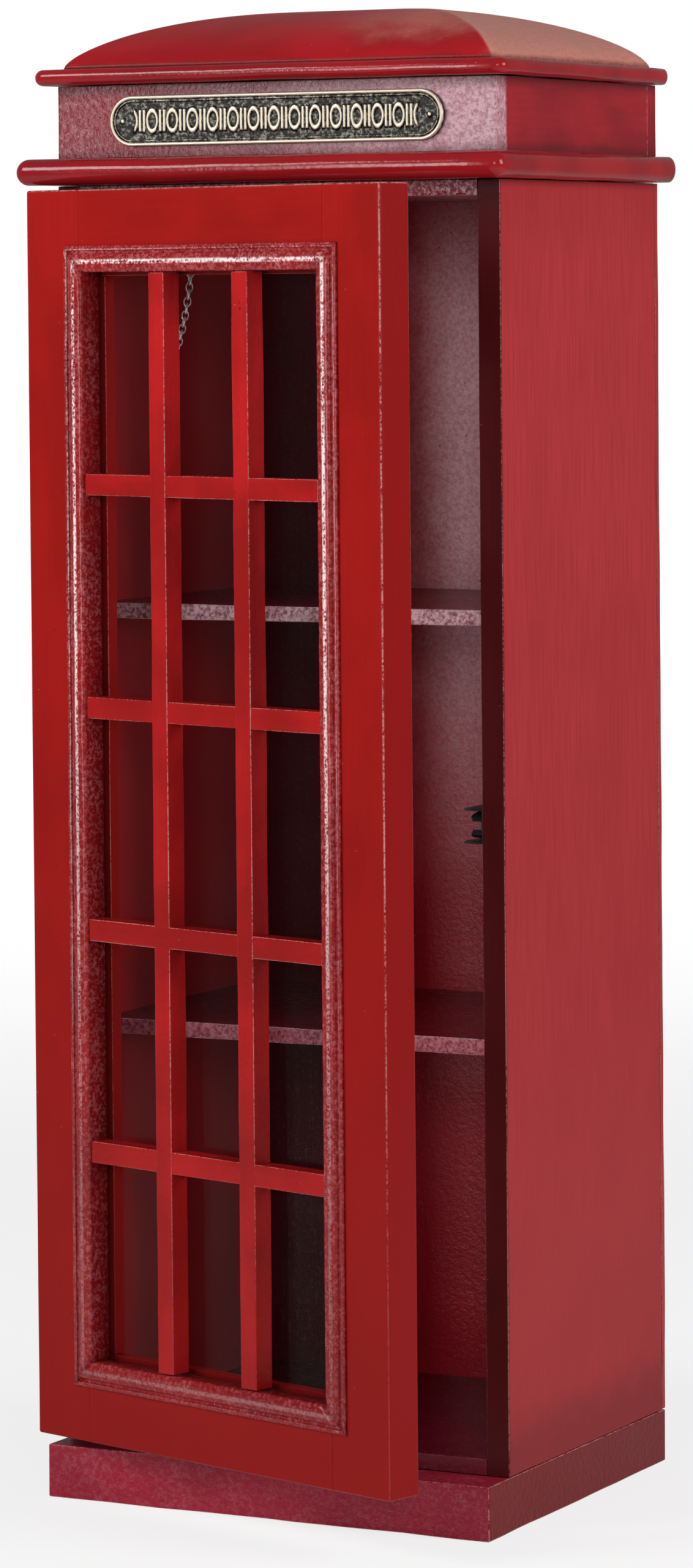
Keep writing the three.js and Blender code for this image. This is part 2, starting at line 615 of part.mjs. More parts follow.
// Square stops behind the glass; the upright ones fit between the level ones.
const stopNear = glassBack + GLUE_LINE;
const stopFar = DOOR_BACK - 1;
const stopLeft = DOOR_LEFT + FRAME_WIDTH + GLUE_LINE;
const stopRight = DOOR_RIGHT - FRAME_WIDTH - GLUE_LINE;
const stopBottom = DOOR_BOTTOM + FRAME_WIDTH + GLUE_LINE;
const stopTop = DOOR_TOP - FRAME_WIDTH - GLUE_LINE;
const stops = {
  bottom_glass_stop: [[stopLeft, stopBottom], [stopRight, stopBottom + STOP_WIDTH]],
  top_glass_stop: [[stopLeft, stopTop - STOP_WIDTH], [stopRight, stopTop]],
  left_glass_stop: [
    [stopLeft, stopBottom + STOP_WIDTH + GLUE_LINE],
    [stopLeft + STOP_WIDTH, stopTop - STOP_WIDTH - GLUE_LINE],
  ],
  right_glass_stop: [
    [stopRight - STOP_WIDTH, stopBottom + STOP_WIDTH + GLUE_LINE],
    [stopRight, stopTop - STOP_WIDTH - GLUE_LINE],
  ],
};
for (const [name, [[x0, z0], [x1, z1]]] of Object.entries(stops))
  place(door, name, block([x0, stopNear, z0], [x1, stopFar, z1]), frontPaint);

// ---------------------------------------------------------------- catch and strike
// The catch's shell is screwed to the right panel: a wall plate with a shelf above and below
// the jaws and a web behind them, open to the front and to the left.
function catchShell() {
  const { height, depth, width, plate, setback } = CATCH;
  const right = INNER_X - GLUE_LINE;
  const left = right - width;
  const near = FRONT_Y + setback;
  const low = DOOR_MIDDLE - height / 2;
  const high = low + height;
  const shell = joined(
    block([right - plate, near, low], [right, near + depth, high]),
    block([left, near, low], [right - 0.5, near + depth, low + plate]),
    block([left, near, high - plate], [right - 0.5, near + depth, high]),
    block([left, near + depth - plate, low + 0.5], [right - 0.5, near + depth, high - 0.5]),
  );
  const bearings = [-1, 1].map((side) =>
    rod(
      [right - plate - 1, near + JAW.length, DOOR_MIDDLE + side * JAW.pivotRise],
      "x",
      plate + 2,
      JAW.trunnion + PIN_CLEARANCE,
    ),
  );
  return cut(shell, ...bearings);
}
place(booth, "catch_shell", catchShell(), blackSteel);

// A jaw lies along -Y from its pivot and ends in a rounded nose turned to the strike.
function catchJaw(side) {
  const { length, height, width, pivotRise, nose, taper, trunnion } = JAW;
  const grip = STRIKE.head / 2 + STRIKE_PLAY; // strike's middle to the nose
  const reach = length - 1;
  const outline = new THREE.Shape();
  const back = height / 2;
  outline.moveTo(0, back);
  outline.lineTo(-reach + 3, back - taper);
  outline.lineTo(-reach, -taper / 2);
  outline.lineTo(-reach + 2.5, grip - pivotRise);
  outline.lineTo(-reach + 5.5, grip - pivotRise);
  outline.lineTo(-reach + 8, grip - pivotRise + nose);
  outline.lineTo(0, -back + nose);
  outline.absarc(0, 0, back, -Math.PI / 4, Math.PI / 2, false);
  const arm = new THREE.ExtrudeGeometry(outline, { depth: width, bevelEnabled: false, curveSegments: 6 });
  const left = INNER_X - GLUE_LINE - CATCH.plate - FIT_GAP - width;
  const jaw = toSolid(arm).rotate([90, 0, 90]).translate([left, 0, 0]);
  const pin = rod([left + width - 1, 0, 0], "x", 1 + FIT_GAP + CATCH.plate - GLUE_LINE, trunnion);
  const solid = jaw.add(toSolid(pin));
  const upper = side > 0 ? solid : solid.mirror([0, 0, 1]);
  return upper.translate([0, catchPivots[0][1], DOOR_MIDDLE + side * pivotRise]);
}
place(booth, "catch_upper_jaw", catchJaw(1), blackSteel);
place(booth, "catch_lower_jaw", catchJaw(-1), blackSteel);

// The strike: a plate on the door's back with a headed tongue that goes between the jaws.
function strikePlate() {
  const { plateHeight, plateWidth, plate, reach, tongue, head, width } = STRIKE;
  const middle = INNER_X - GLUE_LINE - CATCH.plate - FIT_GAP - JAW.width / 2 - PIN_X;
  const near = DOOR_BACK + GLUE_LINE;
  const tip = near + reach;
  const tongueHead = new THREE.Shape();
  tongueHead.moveTo(tip - 5, -head / 2);
  tongueHead.lineTo(tip - 2, -head / 2);
  tongueHead.lineTo(tip, -0.6);
  tongueHead.lineTo(tip, 0.6);
  tongueHead.lineTo(tip - 2, head / 2);
  tongueHead.lineTo(tip - 5, head / 2);
  const headSolid = toSolid(new THREE.ExtrudeGeometry(tongueHead, { depth: width, bevelEnabled: false }))
    .rotate([90, 0, 90])
    .translate([middle - width / 2, 0, DOOR_MIDDLE]);
  const base = block(
    [middle - plateWidth / 2, near, DOOR_MIDDLE - plateHeight / 2],
    [middle + plateWidth / 2, near + plate, DOOR_MIDDLE + plateHeight / 2],
  );
  const neck = block(
    [middle - width / 2, near + plate / 2, DOOR_MIDDLE - tongue / 2],
    [middle + width / 2, tip - 4, DOOR_MIDDLE + tongue / 2],
  );
  return joined(base, neck).add(headSolid);
}
place(door, "catch_strike", strikePlate(), blackSteel);

// ---------------------------------------------------------------- stay chain
// Both eyes lie on one circle about the hinge pins, so the chain's plane turns half as far as
// the door. The chain is built as two curved halves that meet, with a small gap, in the middle.
function wireRing(radius, wire, stretch) {
  return new THREE.TorusGeometry(radius, wire, 8, 20).rotateX(Math.PI / 2).scale(1, 1, stretch);
}

// A screw eye in the XZ plane with its shank going up from the ring's top.
function screwEye() {
  const shank = rod([0, 0, EYE.radius], "z", EYE.standoff - EYE.radius + EYE.shank - 2, EYE.wire);
  return joined(wireRing(EYE.radius, EYE.wire, 1), shank);
}

const openAngle = THREE.MathUtils.degToRad(DOOR_OPEN_DEG);
const doorEyeWorld = [
  PIN_X + doorEye[0] * Math.cos(openAngle) + doorEye[1] * Math.sin(openAngle),
  PIN_Y - doorEye[0] * Math.sin(openAngle) + doorEye[1] * Math.cos(openAngle),
];
const span = new THREE.Vector2(doorEyeWorld[0] - topEye[0], doorEyeWorld[1] - topEye[1]);
const chainAzimuth = span.angle();
const chainSwing = Math.asin(span.length() / 2 / CHAIN_LEG);
const linkHalf = LINK.radius * LINK.stretch;
const linkTop = EYE_Z - EYE.radius + EYE.wire + LINK.play + LINK.wire;
const linkZ = linkTop - linkHalf;
const pivotZ = linkZ - linkHalf;

place(booth, "top_chain_eye", screwEye().rotate([0, 0, 90]).translate([...topEye, EYE_Z]), steel);
const sidewaysEye = screwEye().rotate([90, 0, 0]).rotate([0, 90, 0]);
place(door, "door_chain_eye", sidewaysEye.translate([doorEye[0], doorEye[1], EYE_Z]), steel);

// One half of the chain hanging in the XZ plane from the origin and leaning towards +X.
function chainHalf() {
  const bend = THREE.MathUtils.degToRad(CHAIN_BEND_DEG) / 2;
  const along = new THREE.Vector3(Math.sin(chainSwing), 0, -Math.cos(chainSwing));
  const out = new THREE.Vector3(-Math.cos(chainSwing), 0, -Math.sin(chainSwing));
  const first = LINK.wire + FIT_GAP;
  const start = along.clone().multiplyScalar(first);
  const end = along.clone().multiplyScalar(CHAIN_LEG - CHAIN_END_GAP);
  const bulge = ((CHAIN_LEG - first) / 2) * Math.tan(bend);
  const control = start.clone().add(end).multiplyScalar(0.5).addScaledVector(out, bulge);
  const ring = new THREE.Shape();
  ring.absarc(0, 0, CHAIN_THICKNESS / 2, 0, 2 * Math.PI, false);
  const curve = new THREE.ExtrudeGeometry(ring, {
    extrudePath: new THREE.QuadraticBezierCurve3(start, control, end),
    steps: 12,
    curveSegments: 8,
    bevelEnabled: false,
  });
  const pastEnd = block([end.x, -CHAIN_THICKNESS, -CHAIN_LEG], [CHAIN_LEG, CHAIN_THICKNESS, 0]);
  return cut(toSolid(curve), pastEnd);
}

const turns = { top: [topEye, chainAzimuth], door: [doorEyeWorld, chainAzimuth + Math.PI] };
for (const [end, [[x, y], azimuth]] of Object.entries(turns)) {
  const degrees = THREE.MathUtils.radToDeg(azimuth);
  const across = degrees + 90 - (end === "door" ? DOOR_LINK_TURN_DEG : 0);
  const link = toSolid(wireRing(LINK.radius, LINK.wire, LINK.stretch)).rotate([0, 0, across]);
  place(booth, `${end}_chain_link`, link.translate([x, y, linkZ]), steel);
  const leg = chainHalf().rotate([0, 0, degrees]);
  place(booth, `${end}_chain_half`, leg.translate([x, y, pivotZ]), steel);
}

export default booth;
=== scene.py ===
"""A small painted wooden cabinet in the shape of a telephone booth, dressed for a studio picture.

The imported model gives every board's place. Each sub-assembly below replaces its plain solids with
finished surfaces, worked out on grids in numpy, and lays paint, pewter or steel on them. The glass
and the small fittings keep their solids and are only dressed.
"""
from __future__ import annotations

import json
import logging
import math
from dataclasses import dataclass, replace
from enum import Enum
from typing import Any, Iterable, Optional, Sequence, Union

import bpy
import numpy as np
from mathutils import Matrix

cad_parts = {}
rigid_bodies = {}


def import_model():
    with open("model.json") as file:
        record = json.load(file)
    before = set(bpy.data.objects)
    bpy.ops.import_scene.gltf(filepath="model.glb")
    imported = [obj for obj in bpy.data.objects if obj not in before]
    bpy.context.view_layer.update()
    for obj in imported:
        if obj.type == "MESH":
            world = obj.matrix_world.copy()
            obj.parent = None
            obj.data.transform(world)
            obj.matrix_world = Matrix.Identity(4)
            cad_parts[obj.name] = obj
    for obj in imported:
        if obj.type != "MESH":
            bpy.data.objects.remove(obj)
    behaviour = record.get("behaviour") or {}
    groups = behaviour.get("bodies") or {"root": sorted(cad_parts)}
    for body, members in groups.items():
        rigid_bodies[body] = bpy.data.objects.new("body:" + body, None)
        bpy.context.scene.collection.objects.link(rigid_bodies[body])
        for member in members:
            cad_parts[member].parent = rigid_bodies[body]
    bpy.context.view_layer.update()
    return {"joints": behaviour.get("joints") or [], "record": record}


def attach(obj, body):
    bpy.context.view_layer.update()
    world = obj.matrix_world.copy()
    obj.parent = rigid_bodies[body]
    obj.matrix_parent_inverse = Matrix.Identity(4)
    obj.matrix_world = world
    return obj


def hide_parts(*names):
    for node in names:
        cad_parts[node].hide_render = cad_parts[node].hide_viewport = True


LOG = logging.getLogger("booth")
MM = 0.001
Array = np.ndarray
Surface = tuple[Array, list[tuple[int, ...]], Array]
Colour = tuple[float, float, float]
Ease = Union[float, Sequence[float]]
WHITE = (1.0, 1.0, 1.0, 1.0)

# The grid laid over a board
ARC_POINTS = 5  # along half of an eased edge
EDGE_BAND = 1.6 * MM  # the first strip of the flat beside an edge
FLAT_STEP = 18 * MM  # the squares beyond it
SHARP_EASE = 0.2 * MM  # a joint eased less than this shows no wear
BOARD_WAVE = 90 * MM  # the longest waves in a board's face
STRETCH_POINTS = 14  # along each straight side of a stacked outline


# ---------------------------------------------------------------- shader maths
class Number:
    """A number in a node tree: arithmetic on it adds Math nodes."""

    def __init__(self, bench: "Bench", socket: bpy.types.NodeSocket) -> None:
        """Wraps an output socket.

        Args:
            bench: the material being mixed.
            socket: the output that carries the number.
        """
        self.bench, self.socket = bench, socket

    def _math(self, operation: str, *values: Any, clamp: bool = False) -> "Number":
        """One Math node.

        Args:
            operation: the node's operation.
            values: its inputs in order, as numbers or Numbers.
            clamp: whether the result is held between 0 and 1.

        Returns:
            The node's result.
        """
        settings = {"operation": operation, "use_clamp": clamp}
        node = self.bench.node("ShaderNodeMath", settings, dict(enumerate(values)))
        return Number(self.bench, node.outputs[0])

    def __add__(self, other: Any) -> "Number":
        """self + other."""
        return self._math("ADD", self, other)

    __radd__ = __add__

    def __sub__(self, other: Any) -> "Number":
        """self - other."""
        return self._math("SUBTRACT", self, other)

    def __rsub__(self, other: Any) -> "Number":
        """other - self."""
        return self._math("SUBTRACT", other, self)

    def __mul__(self, other: Any) -> "Number":
        """self * other."""
        return self._math("MULTIPLY", self, other)

    __rmul__ = __mul__

    def __pow__(self, other: Any) -> "Number":
        """self to the power of other."""
        return self._math("POWER", self, other)

    def clamp(self) -> "Number":
        """self held between 0 and 1."""
        return self._math("ADD", self, 0.0, clamp=True)

    def rise(self, low: float, high: float) -> "Number":
        """A smooth step.

        Args:
            low: where it leaves 0.
            high: where it reaches 1; below low, the step falls instead.

        Returns:
            The step's height, from 0 to 1.
        """
        ends = {1: low, 2: high, 3: 0.0, 4: 1.0}
        if high < low:
            ends = {1: high, 2: low, 3: 1.0, 4: 0.0}
        node = self.bench.node(
            "ShaderNodeMapRange", {"interpolation_type": "SMOOTHSTEP"}, {0: self, **ends}
        )
        return Number(self.bench, node.outputs[0])


class Bench:
    """The place where the nodes of one material, or of the backdrop, are put together."""

    def __init__(self, owner: Union[bpy.types.Material, bpy.types.World]) -> None:
        """Starts an empty node tree.

        Args:
            owner: the material or world that it belongs to.
        """
        self.owner = owner
        self.owner.use_nodes = True
        self.tree = self.owner.node_tree
        self.tree.nodes.clear()

    def node(
        self, kind: str, settings: Optional[dict[str, Any]] = None, inputs: Optional[dict] = None
    ) -> bpy.types.Node:
        """Adds a node, sets it, then fills its sockets.

        Args:
            kind: the node's type.
            settings: its own properties.
            inputs: values, sockets or Numbers by socket name or index.

        Returns:
            The node.
        """
        made = self.tree.nodes.new(kind)
        for key, value in (settings or {}).items():
            setattr(made, key, value)
        for key, value in (inputs or {}).items():
            if isinstance(value, Number):
                value = value.socket
            if isinstance(value, bpy.types.NodeSocket):
                self.tree.links.new(value, made.inputs[key])
            else:
                made.inputs[key].default_value = value
        return made

    def place(
        self, turn: float = 0.0, stretch: Sequence[float] = (1.0, 1.0, 1.0)
    ) -> bpy.types.NodeSocket:
        """Object coordinates, squared up to a turned piece and then stretched.

        Args:
            turn: the piece's turn about the upright axis, in radians.
            stretch: what each squared-up coordinate is multiplied by.

        Returns:
            The coordinates' socket.
        """
        start = self.node("ShaderNodeTexCoord").outputs["Object"]
        square = self.node(
            "ShaderNodeMapping", {}, {"Vector": start, "Rotation": (0.0, 0.0, -turn)}
        )
        scaled = self.node(
            "ShaderNodeMapping", {}, {"Vector": square.outputs[0], "Scale": tuple(stretch)}
        )
        return scaled.outputs[0]

    def noise(
        self, where: bpy.types.NodeSocket, scale: float, detail: float = 2.0, rough: float = 0.5
    ) -> Number:
        """A noise pattern from 0 to 1.

        Args:
            where: the coordinates.
            scale: its features per metre.
            detail: its octaves.
            rough: how strong the finer octaves are.

        Returns:
            The pattern.
        """
        inputs = {"Vector": where, "Scale": scale, "Detail": detail, "Roughness": rough}
        return Number(self, self.node("ShaderNodeTexNoise", {}, inputs).outputs["Fac"])

    def specks(self, where: bpy.types.NodeSocket, scale: float, size: float, few: float) -> Number:
        """Scattered round spots.

        Args:
            where: the coordinates.
            scale: the cells per metre.
            size: a spot's radius as a share of its cell.
            few: from 0, where each cell holds a spot, to 1, where none does.

        Returns:
            1 inside a spot and 0 outside.
        """
        cells = self.node("ShaderNodeTexVoronoi", {}, {"Vector": where, "Scale": scale})
        pick = self.node("ShaderNodeSeparateColor", {}, {0: cells.outputs["Color"]})
        near = Number(self, cells.outputs["Distance"]).rise(size, size * 0.5)
        return near * Number(self, pick.outputs[0]).rise(few, few + 0.02)

    def attribute(self, name: str) -> Number:
        """A number that the piece's own mesh carries."""
        node = self.node("ShaderNodeAttribute", {"attribute_name": name})
        return Number(self, node.outputs["Fac"])

    def height(self, turn: float = 0.0) -> Number:
        """The height above the floor, in metres."""
        split = self.node("ShaderNodeSeparateXYZ", {}, {0: self.place(turn)})
        return Number(self, split.outputs[2])

    def mix(self, factor: Any, first: Any, second: Any) -> bpy.types.NodeSocket:
        """Mixes two colours.

        Args:
            factor: how much of the second is taken.
            first: a colour or socket.
            second: a colour or socket.

        Returns:
            The mixed colour's socket.
        """
        full = [(*c, 1.0) if isinstance(c, tuple) else c for c in (first, second)]
        inputs = {0: factor, 6: full[0], 7: full[1]}
        return self.node("ShaderNodeMix", {"data_type": "RGBA"}, inputs).outputs[2]

    def bump(self, height: Number, depth: float) -> bpy.types.NodeSocket:
        """Turns a height pattern into a normal.

        Args:
            height: the pattern, from 0 to 1.
            depth: how deep it is, in metres.

        Returns:
            The normal's socket.
        """
        inputs = {"Height": height, "Distance": depth, "Strength": 1.0}
        return self.node("ShaderNodeBump", {}, inputs).outputs[0]

    def finish(self, inputs: dict[str, Any]) -> bpy.types.Material:
        """Closes the material with one Principled shader.

        Args:
            inputs: the shader's sockets.

        Returns:
            The material.
        """
        shader = self.node("ShaderNodeBsdfPrincipled", {}, inputs)
        self.node("ShaderNodeOutputMaterial", {}, {0: shader.outputs[0]})
        return self.owner


# ---------------------------------------------------------------- finishes
class Grain(Enum):
    """Which way a board's fibres and brush strokes run, as a stretch of its coordinates."""

    UPRIGHT = (1.0, 1.0, 0.035)
    ACROSS = (0.035, 1.0, 1.0)
    INWARD = (1.0, 0.035, 1.0)


@dataclass(frozen=True)
class Zone:
    """A part of a surface whose paint has another tone, such as a painted sheen, a painted shade on
    an edge, or a face painted another colour.

    Each pair gives the coordinate where the tone sets in and the one where it is full, in metres.
    The share of the tone is amount times one mask for each pair, the attribute and the speckle.
    """

    colour: Colour
    amount: float = 1.0
    across: Optional[tuple[float, float]] = None
    inward: Optional[tuple[float, float]] = None
    upward: Optional[tuple[float, float]] = None
    fading: Optional[tuple[float, float]] = None
    attribute: str = ""
    ragged: float = 0.0
    speckle: float = 0.0

    def laid(
        self, bench: Bench, here: bpy.types.NodeSocket, colour: bpy.types.NodeSocket
    ) -> bpy.types.NodeSocket:
        """Lays the tone over a colour.

        Args:
            bench: the material being mixed.
            here: its coordinates.
            colour: the colour so far.

        Returns:
            The colour with this tone in its zone.
        """
        split = bench.node("ShaderNodeSeparateXYZ", {}, {0: here})
        wander = (bench.noise(here, 30.0, 4.0, 0.6) - 0.5) * self.ragged
        pairs = ((0, self.across), (1, self.inward), (2, self.upward), (2, self.fading))
        masks = [
            (Number(bench, split.outputs[axis]) + wander).rise(*pair)
            for axis, pair in pairs
            if pair
        ]
        if self.attribute:
            masks.append((bench.attribute(self.attribute) + wander * 8.0).rise(0.25, 0.75))
        if self.speckle:
            fine = bench.noise(here, 400.0, 4.0, 0.75).rise(0.36, 0.62)
            masks.append(fine * self.speckle + (1 - self.speckle))
        return bench.mix(math.prod(masks, start=self.amount).clamp(), colour, self.colour)


def both_sides(colour: Colour, amount: float, start: float, full: float) -> tuple[Zone, Zone]:
    """The same tone on a board's left and right ends.

    Args:
        colour: the tone.
        amount: how much of it is laid.
        start: how far out from the middle it sets in.
        full: how far out it is full.

    Returns:
        The two zones.
    """
    return (
        Zone(colour, amount, across=(start, full)),
        Zone(colour, amount, across=(-start, -full)),
    )


@dataclass(frozen=True)
class Paint:
    """Brushed enamel over sanded wood, rubbed through to a pale tone along the arrises; on the
    beads that pale rub is a painted highlight. Pale flecks paint a speckled sheen, and several
    zones paint shade, light or sheen.

    Colours are linear. Depths are in metres, noise scales are features to the metre, and each
    strength runs from 0 to 1.
    """

    colour: Colour = (0.36, 0.018, 0.016)
    deep: Colour = (0.17, 0.008, 0.010)
    pale: Colour = (0.62, 0.30, 0.27)
    smudge: Colour = (0.03, 0.004, 0.005)
    gloss: float = 0.30
    shine: float = 0.5
    coat: float = 0.0
    tone: float = 0.5
    streak: float = 0.35
    lumps: float = 0.00008
    lump_scale: float = 260.0
    orange_peel: float = 0.00003
    # painted sheen: fine pale flecks in the colour stand in for the gloss's speckled reflection
    sheen_fleck_colour: Colour = (0.62, 0.34, 0.40)
    sheen_flecks: float = 0.0
    sheen_fleck_scale: float = 380.0
    wear_and_highlight: float = 0.8
    specks: float = 0.6
    foot: float = 0.0  # height below which the tone darkens towards the floor, in metres
    eaves: float = 0.0  # height above which painted shade under the eaves darkens the tone, in metres
    painted_shade_below: float = 0.0  # how far painted shade deepens the tone from mid height down to the floor
    rub_and_highlight_heights: Optional[tuple[float, float]] = None  # heights between which the pale rub grows; on the beads it is a painted highlight
    zones: tuple[Zone, ...] = ()

    def weather(
        self, bench: Bench, here: bpy.types.NodeSocket, colour: bpy.types.NodeSocket, turn: float
    ) -> bpy.types.NodeSocket:
        """Adds the painted shade that deepens downwards, the darkening near the floor, the painted
        shade under the eaves and the zones, several of which paint shade, light or sheen.

        Args:
            bench: the material being mixed.
            here: its coordinates.
            colour: the paint so far.
            turn: the painted piece's turn about the upright axis.

        Returns:
            The weathered colour.
        """
        # painted shade: the tone deepens from mid height towards the floor
        if self.painted_shade_below:
            colour = bench.mix(bench.height(turn).rise(0.78, 0.05) * self.painted_shade_below, colour, self.deep)
        # darker near the floor
        if self.foot:
            near_floor = bench.height(turn) + bench.noise(here, 60.0, 3.0) * 0.03
            colour = bench.mix(near_floor.rise(self.foot + 0.035, self.foot) * 0.35, colour, self.smudge)
        # painted shade under the eaves
        if self.eaves:
            shade = bench.height(turn) + bench.noise(here, 30.0, 2.0) * 0.02
            colour = bench.mix(shade.rise(self.eaves - 0.05, self.eaves) * 0.4, colour, self.deep)
        for zone in self.zones:
            colour = zone.laid(bench, here, colour)
        return colour

    def material(self, name: str, grain: Grain, turn: float = 0.0) -> bpy.types.Material:
        """Mixes the paint.

        Args:
            name: the material's name.
            grain: the direction of its strokes.
            turn: the painted piece's turn about the upright axis.

        Returns:
            The material.
        """
        bench = Bench(bpy.data.materials.new(name))
        here = bench.place(turn)
        strokes = bench.place(turn, grain.value)
        cloud = bench.noise(here, 14.0, 3.0, 0.55)
        long_cloud = bench.noise(bench.place(turn, tuple(s**0.5 for s in grain.value)), 26.0, 2.0)
        stroke = bench.noise(strokes, 520.0, 3.0, 0.6)
        lump = bench.noise(here, self.lump_scale, 3.0, 0.6)
        peel = bench.noise(here, 1150.0, 2.0, 0.5)
        arris = bench.attribute("arris")

        depth = (cloud * 0.6 + long_cloud * 0.4).rise(0.62, 0.36) * self.tone
        colour = bench.mix(depth, self.colour, self.deep)
        streaks = (stroke.rise(0.66, 0.34) * self.streak * 0.45).clamp()
        colour = bench.mix(streaks, colour, self.deep)
        blotch = bench.noise(here, 55.0, 4.0, 0.7).rise(0.66, 0.82) * 0.5 * self.specks
        colour = bench.mix(blotch, colour, self.smudge)
        # painted sheen: fine pale flecks
        if self.sheen_flecks:
            scatter = bench.noise(here, self.sheen_fleck_scale, 4.0, 0.75).rise(0.46, 0.62)
            drift = bench.noise(here, 34.0, 2.0).rise(0.25, 0.75) * 0.7 + 0.3
            colour = bench.mix((scatter * drift * self.sheen_flecks).clamp(), colour, self.sheen_fleck_colour)
        colour = self.weather(bench, here, colour, turn)
        spots = bench.specks(here, 110.0, 0.10, 0.86) * self.specks
        colour = bench.mix(spots * 0.85, colour, self.smudge)
        dust = bench.specks(here, 190.0, 0.09, 0.90) * self.specks
        colour = bench.mix(dust * 0.6, colour, self.pale)

        ragged = bench.noise(strokes, 210.0, 4.0, 0.75)
        fray = bench.noise(here, 620.0, 2.0, 0.6)
        # pale rub along the arrises: wear on the boards, a painted highlight on the beads
        rub_and_highlight = (arris.rise(0.25, 0.85) * (ragged * 0.5 + fray * 0.5).rise(0.42, 0.56)) * self.wear_and_highlight
        if self.rub_and_highlight_heights:
            rub_and_highlight = rub_and_highlight * (bench.height(turn).rise(*self.rub_and_highlight_heights) * 0.88 + 0.12)
        near = arris.rise(0.02, 0.5) * ragged.rise(0.35, 0.7) * 0.4 * self.wear_and_highlight
        colour = bench.mix(near.clamp(), colour, self.deep)
        colour = bench.mix(rub_and_highlight.clamp(), colour, self.pale)

        rough = (lump - 0.5) * 0.12 + (stroke - 0.5) * 0.10 + rub_and_highlight * 0.22 + self.gloss
        relief = lump * (self.lumps / MM) + stroke * (0.012 * self.streak)
        relief = relief + peel * (self.orange_peel / MM)
        return bench.finish(
            {
                "Base Color": colour,
                "Roughness": rough.clamp(),
                "Normal": bench.bump(relief, MM),
                "Specular IOR Level": self.shine,
                "Coat Weight": self.coat,
                "Coat Roughness": 0.12,
            }
        )


@dataclass(frozen=True)
class Metal:
    """Plated or blackened steel, finely scratched, with dull patches."""

    colour: Colour = (0.78, 0.76, 0.72)
    dull: Colour = (0.34, 0.32, 0.29)
    metallic: float = 0.7
    gloss: float = 0.26
    patches: float = 0.6

    def material(self, name: str) -> bpy.types.Material:
        """Mixes the metal.

        Args:
            name: the material's name.

        Returns:
            The material.
        """
        bench = Bench(bpy.data.materials.new(name))
        here = bench.place()
        patch = bench.noise(here, 240.0, 4.0, 0.65).rise(0.42, 0.68) * self.patches
        grain = bench.noise(bench.place(0.0, (1.0, 1.0, 0.08)), 2600.0, 2.0)
        rough = patch * 0.3 + grain * 0.12 + self.gloss
        return bench.finish(
            {
                "Base Color": bench.mix(patch, self.colour, self.dull),
                "Metallic": self.metallic,
                "Roughness": rough.clamp(),
                "Normal": bench.bump(grain * 0.4 + patch, 0.00003),
            }
        )


@dataclass(frozen=True)
class Pewter:
    """A dark cast metal whose raised lines are rubbed to a warm pale tone."""

    recess: Colour = (0.012, 0.012, 0.011)
    body: Colour = (0.26, 0.24, 0.20)
    bright: Colour = (0.74, 0.66, 0.52)

    def material(self, name: str) -> bpy.types.Material:
        """Mixes the metal; the mesh's "raised" attribute says how high each point stands.

        Args:
            name: the material's name.

        Returns:
            The material.
        """
        bench = Bench(bpy.data.materials.new(name))
        here = bench.place()
        raised = bench.attribute("raised")
        mottle = bench.noise(here, 420.0, 4.0, 0.7)
        fine = bench.noise(here, 1500.0, 2.0, 0.6)
        colour = bench.mix(mottle.rise(0.46, 0.72), self.recess, self.body)
        rub = (raised * 1.25 - 0.45 + (mottle - 0.5) * 0.9 + (fine - 0.5) * 0.5).rise(0.1, 0.55)
        colour = bench.mix(rub, colour, self.bright)
        return bench.finish(
            {
                "Base Color": colour,
                "Metallic": rub * -0.35 + 0.85,
                "Roughness": (mottle * 0.3 + 0.28).clamp(),
                "Normal": bench.bump(mottle * 0.7 + fine * 0.3, 0.00018),
            }
        )


@dataclass(frozen=True)
class Glass:
    """Thin window glass: it passes what lies behind it and mirrors more at a slant."""

    tint: Colour = (0.92, 0.94, 0.95)
    polish: float = 0.02
    head_on: float = 0.045  # how much is mirrored head-on
    slanting: float = 0.9  # how much more is mirrored at a full slant

    def material(self, name: str) -> bpy.types.Material:
        """Mixes the glass.

        Args:
            name: the material's name.

        Returns:
            The material.
        """
        bench = Bench(bpy.data.materials.new(name))
        here = bench.place()
        haze = bench.noise(here, 22.0, 4.0, 0.6).rise(0.45, 0.8)
        clear = bench.node("ShaderNodeBsdfTransparent", {}, {"Color": (*self.tint, 1.0)})
        mirror = bench.node(
            "ShaderNodeBsdfPrincipled",
            {},
            {
                "Base Color": (0.02, 0.022, 0.022, 1.0),
                "Roughness": haze * 0.10 + self.polish,
                "Specular IOR Level": 1.0,
            },
        )
        slant = bench.node("ShaderNodeLayerWeight", {}, {"Blend": 0.5}).outputs["Facing"]
        mirrored = Number(bench, slant) ** 5.0 * self.slanting + haze * 0.03 + self.head_on
        both = bench.node(
            "ShaderNodeMixShader",
            {},
            {0: mirrored.clamp(), 1: clear.outputs[0], 2: mirror.outputs[0]},
        )
        bench.node("ShaderNodeOutputMaterial", {}, {0: both.outputs[0]})
        return bench.owner


# ---------------------------------------------------------------- surfaces
def waves(points: Array, size: float, seed: int) -> Array:
    """Smooth unevenness: a sum of sines of random direction and phase.

    Args:
        points: where it is wanted, one row each.
        size: the length of its longest waves, in metres.
        seed: picks the directions and phases.

    Returns:
        A number from -1 to 1 for each point.
    """
    draw = np.random.default_rng(seed)
    turns = draw.normal(size=(7, 3))
    turns *= (2 * np.pi / size) * draw.uniform(0.6, 2.2, (7, 1)) / np.linalg.norm(
        turns, axis=1, keepdims=True
    )
    height = np.sin(points @ turns.T + draw.uniform(0, 2 * np.pi, 7)).sum(1) / 3.2
    return np.clip(height, -1.0, 1.0)


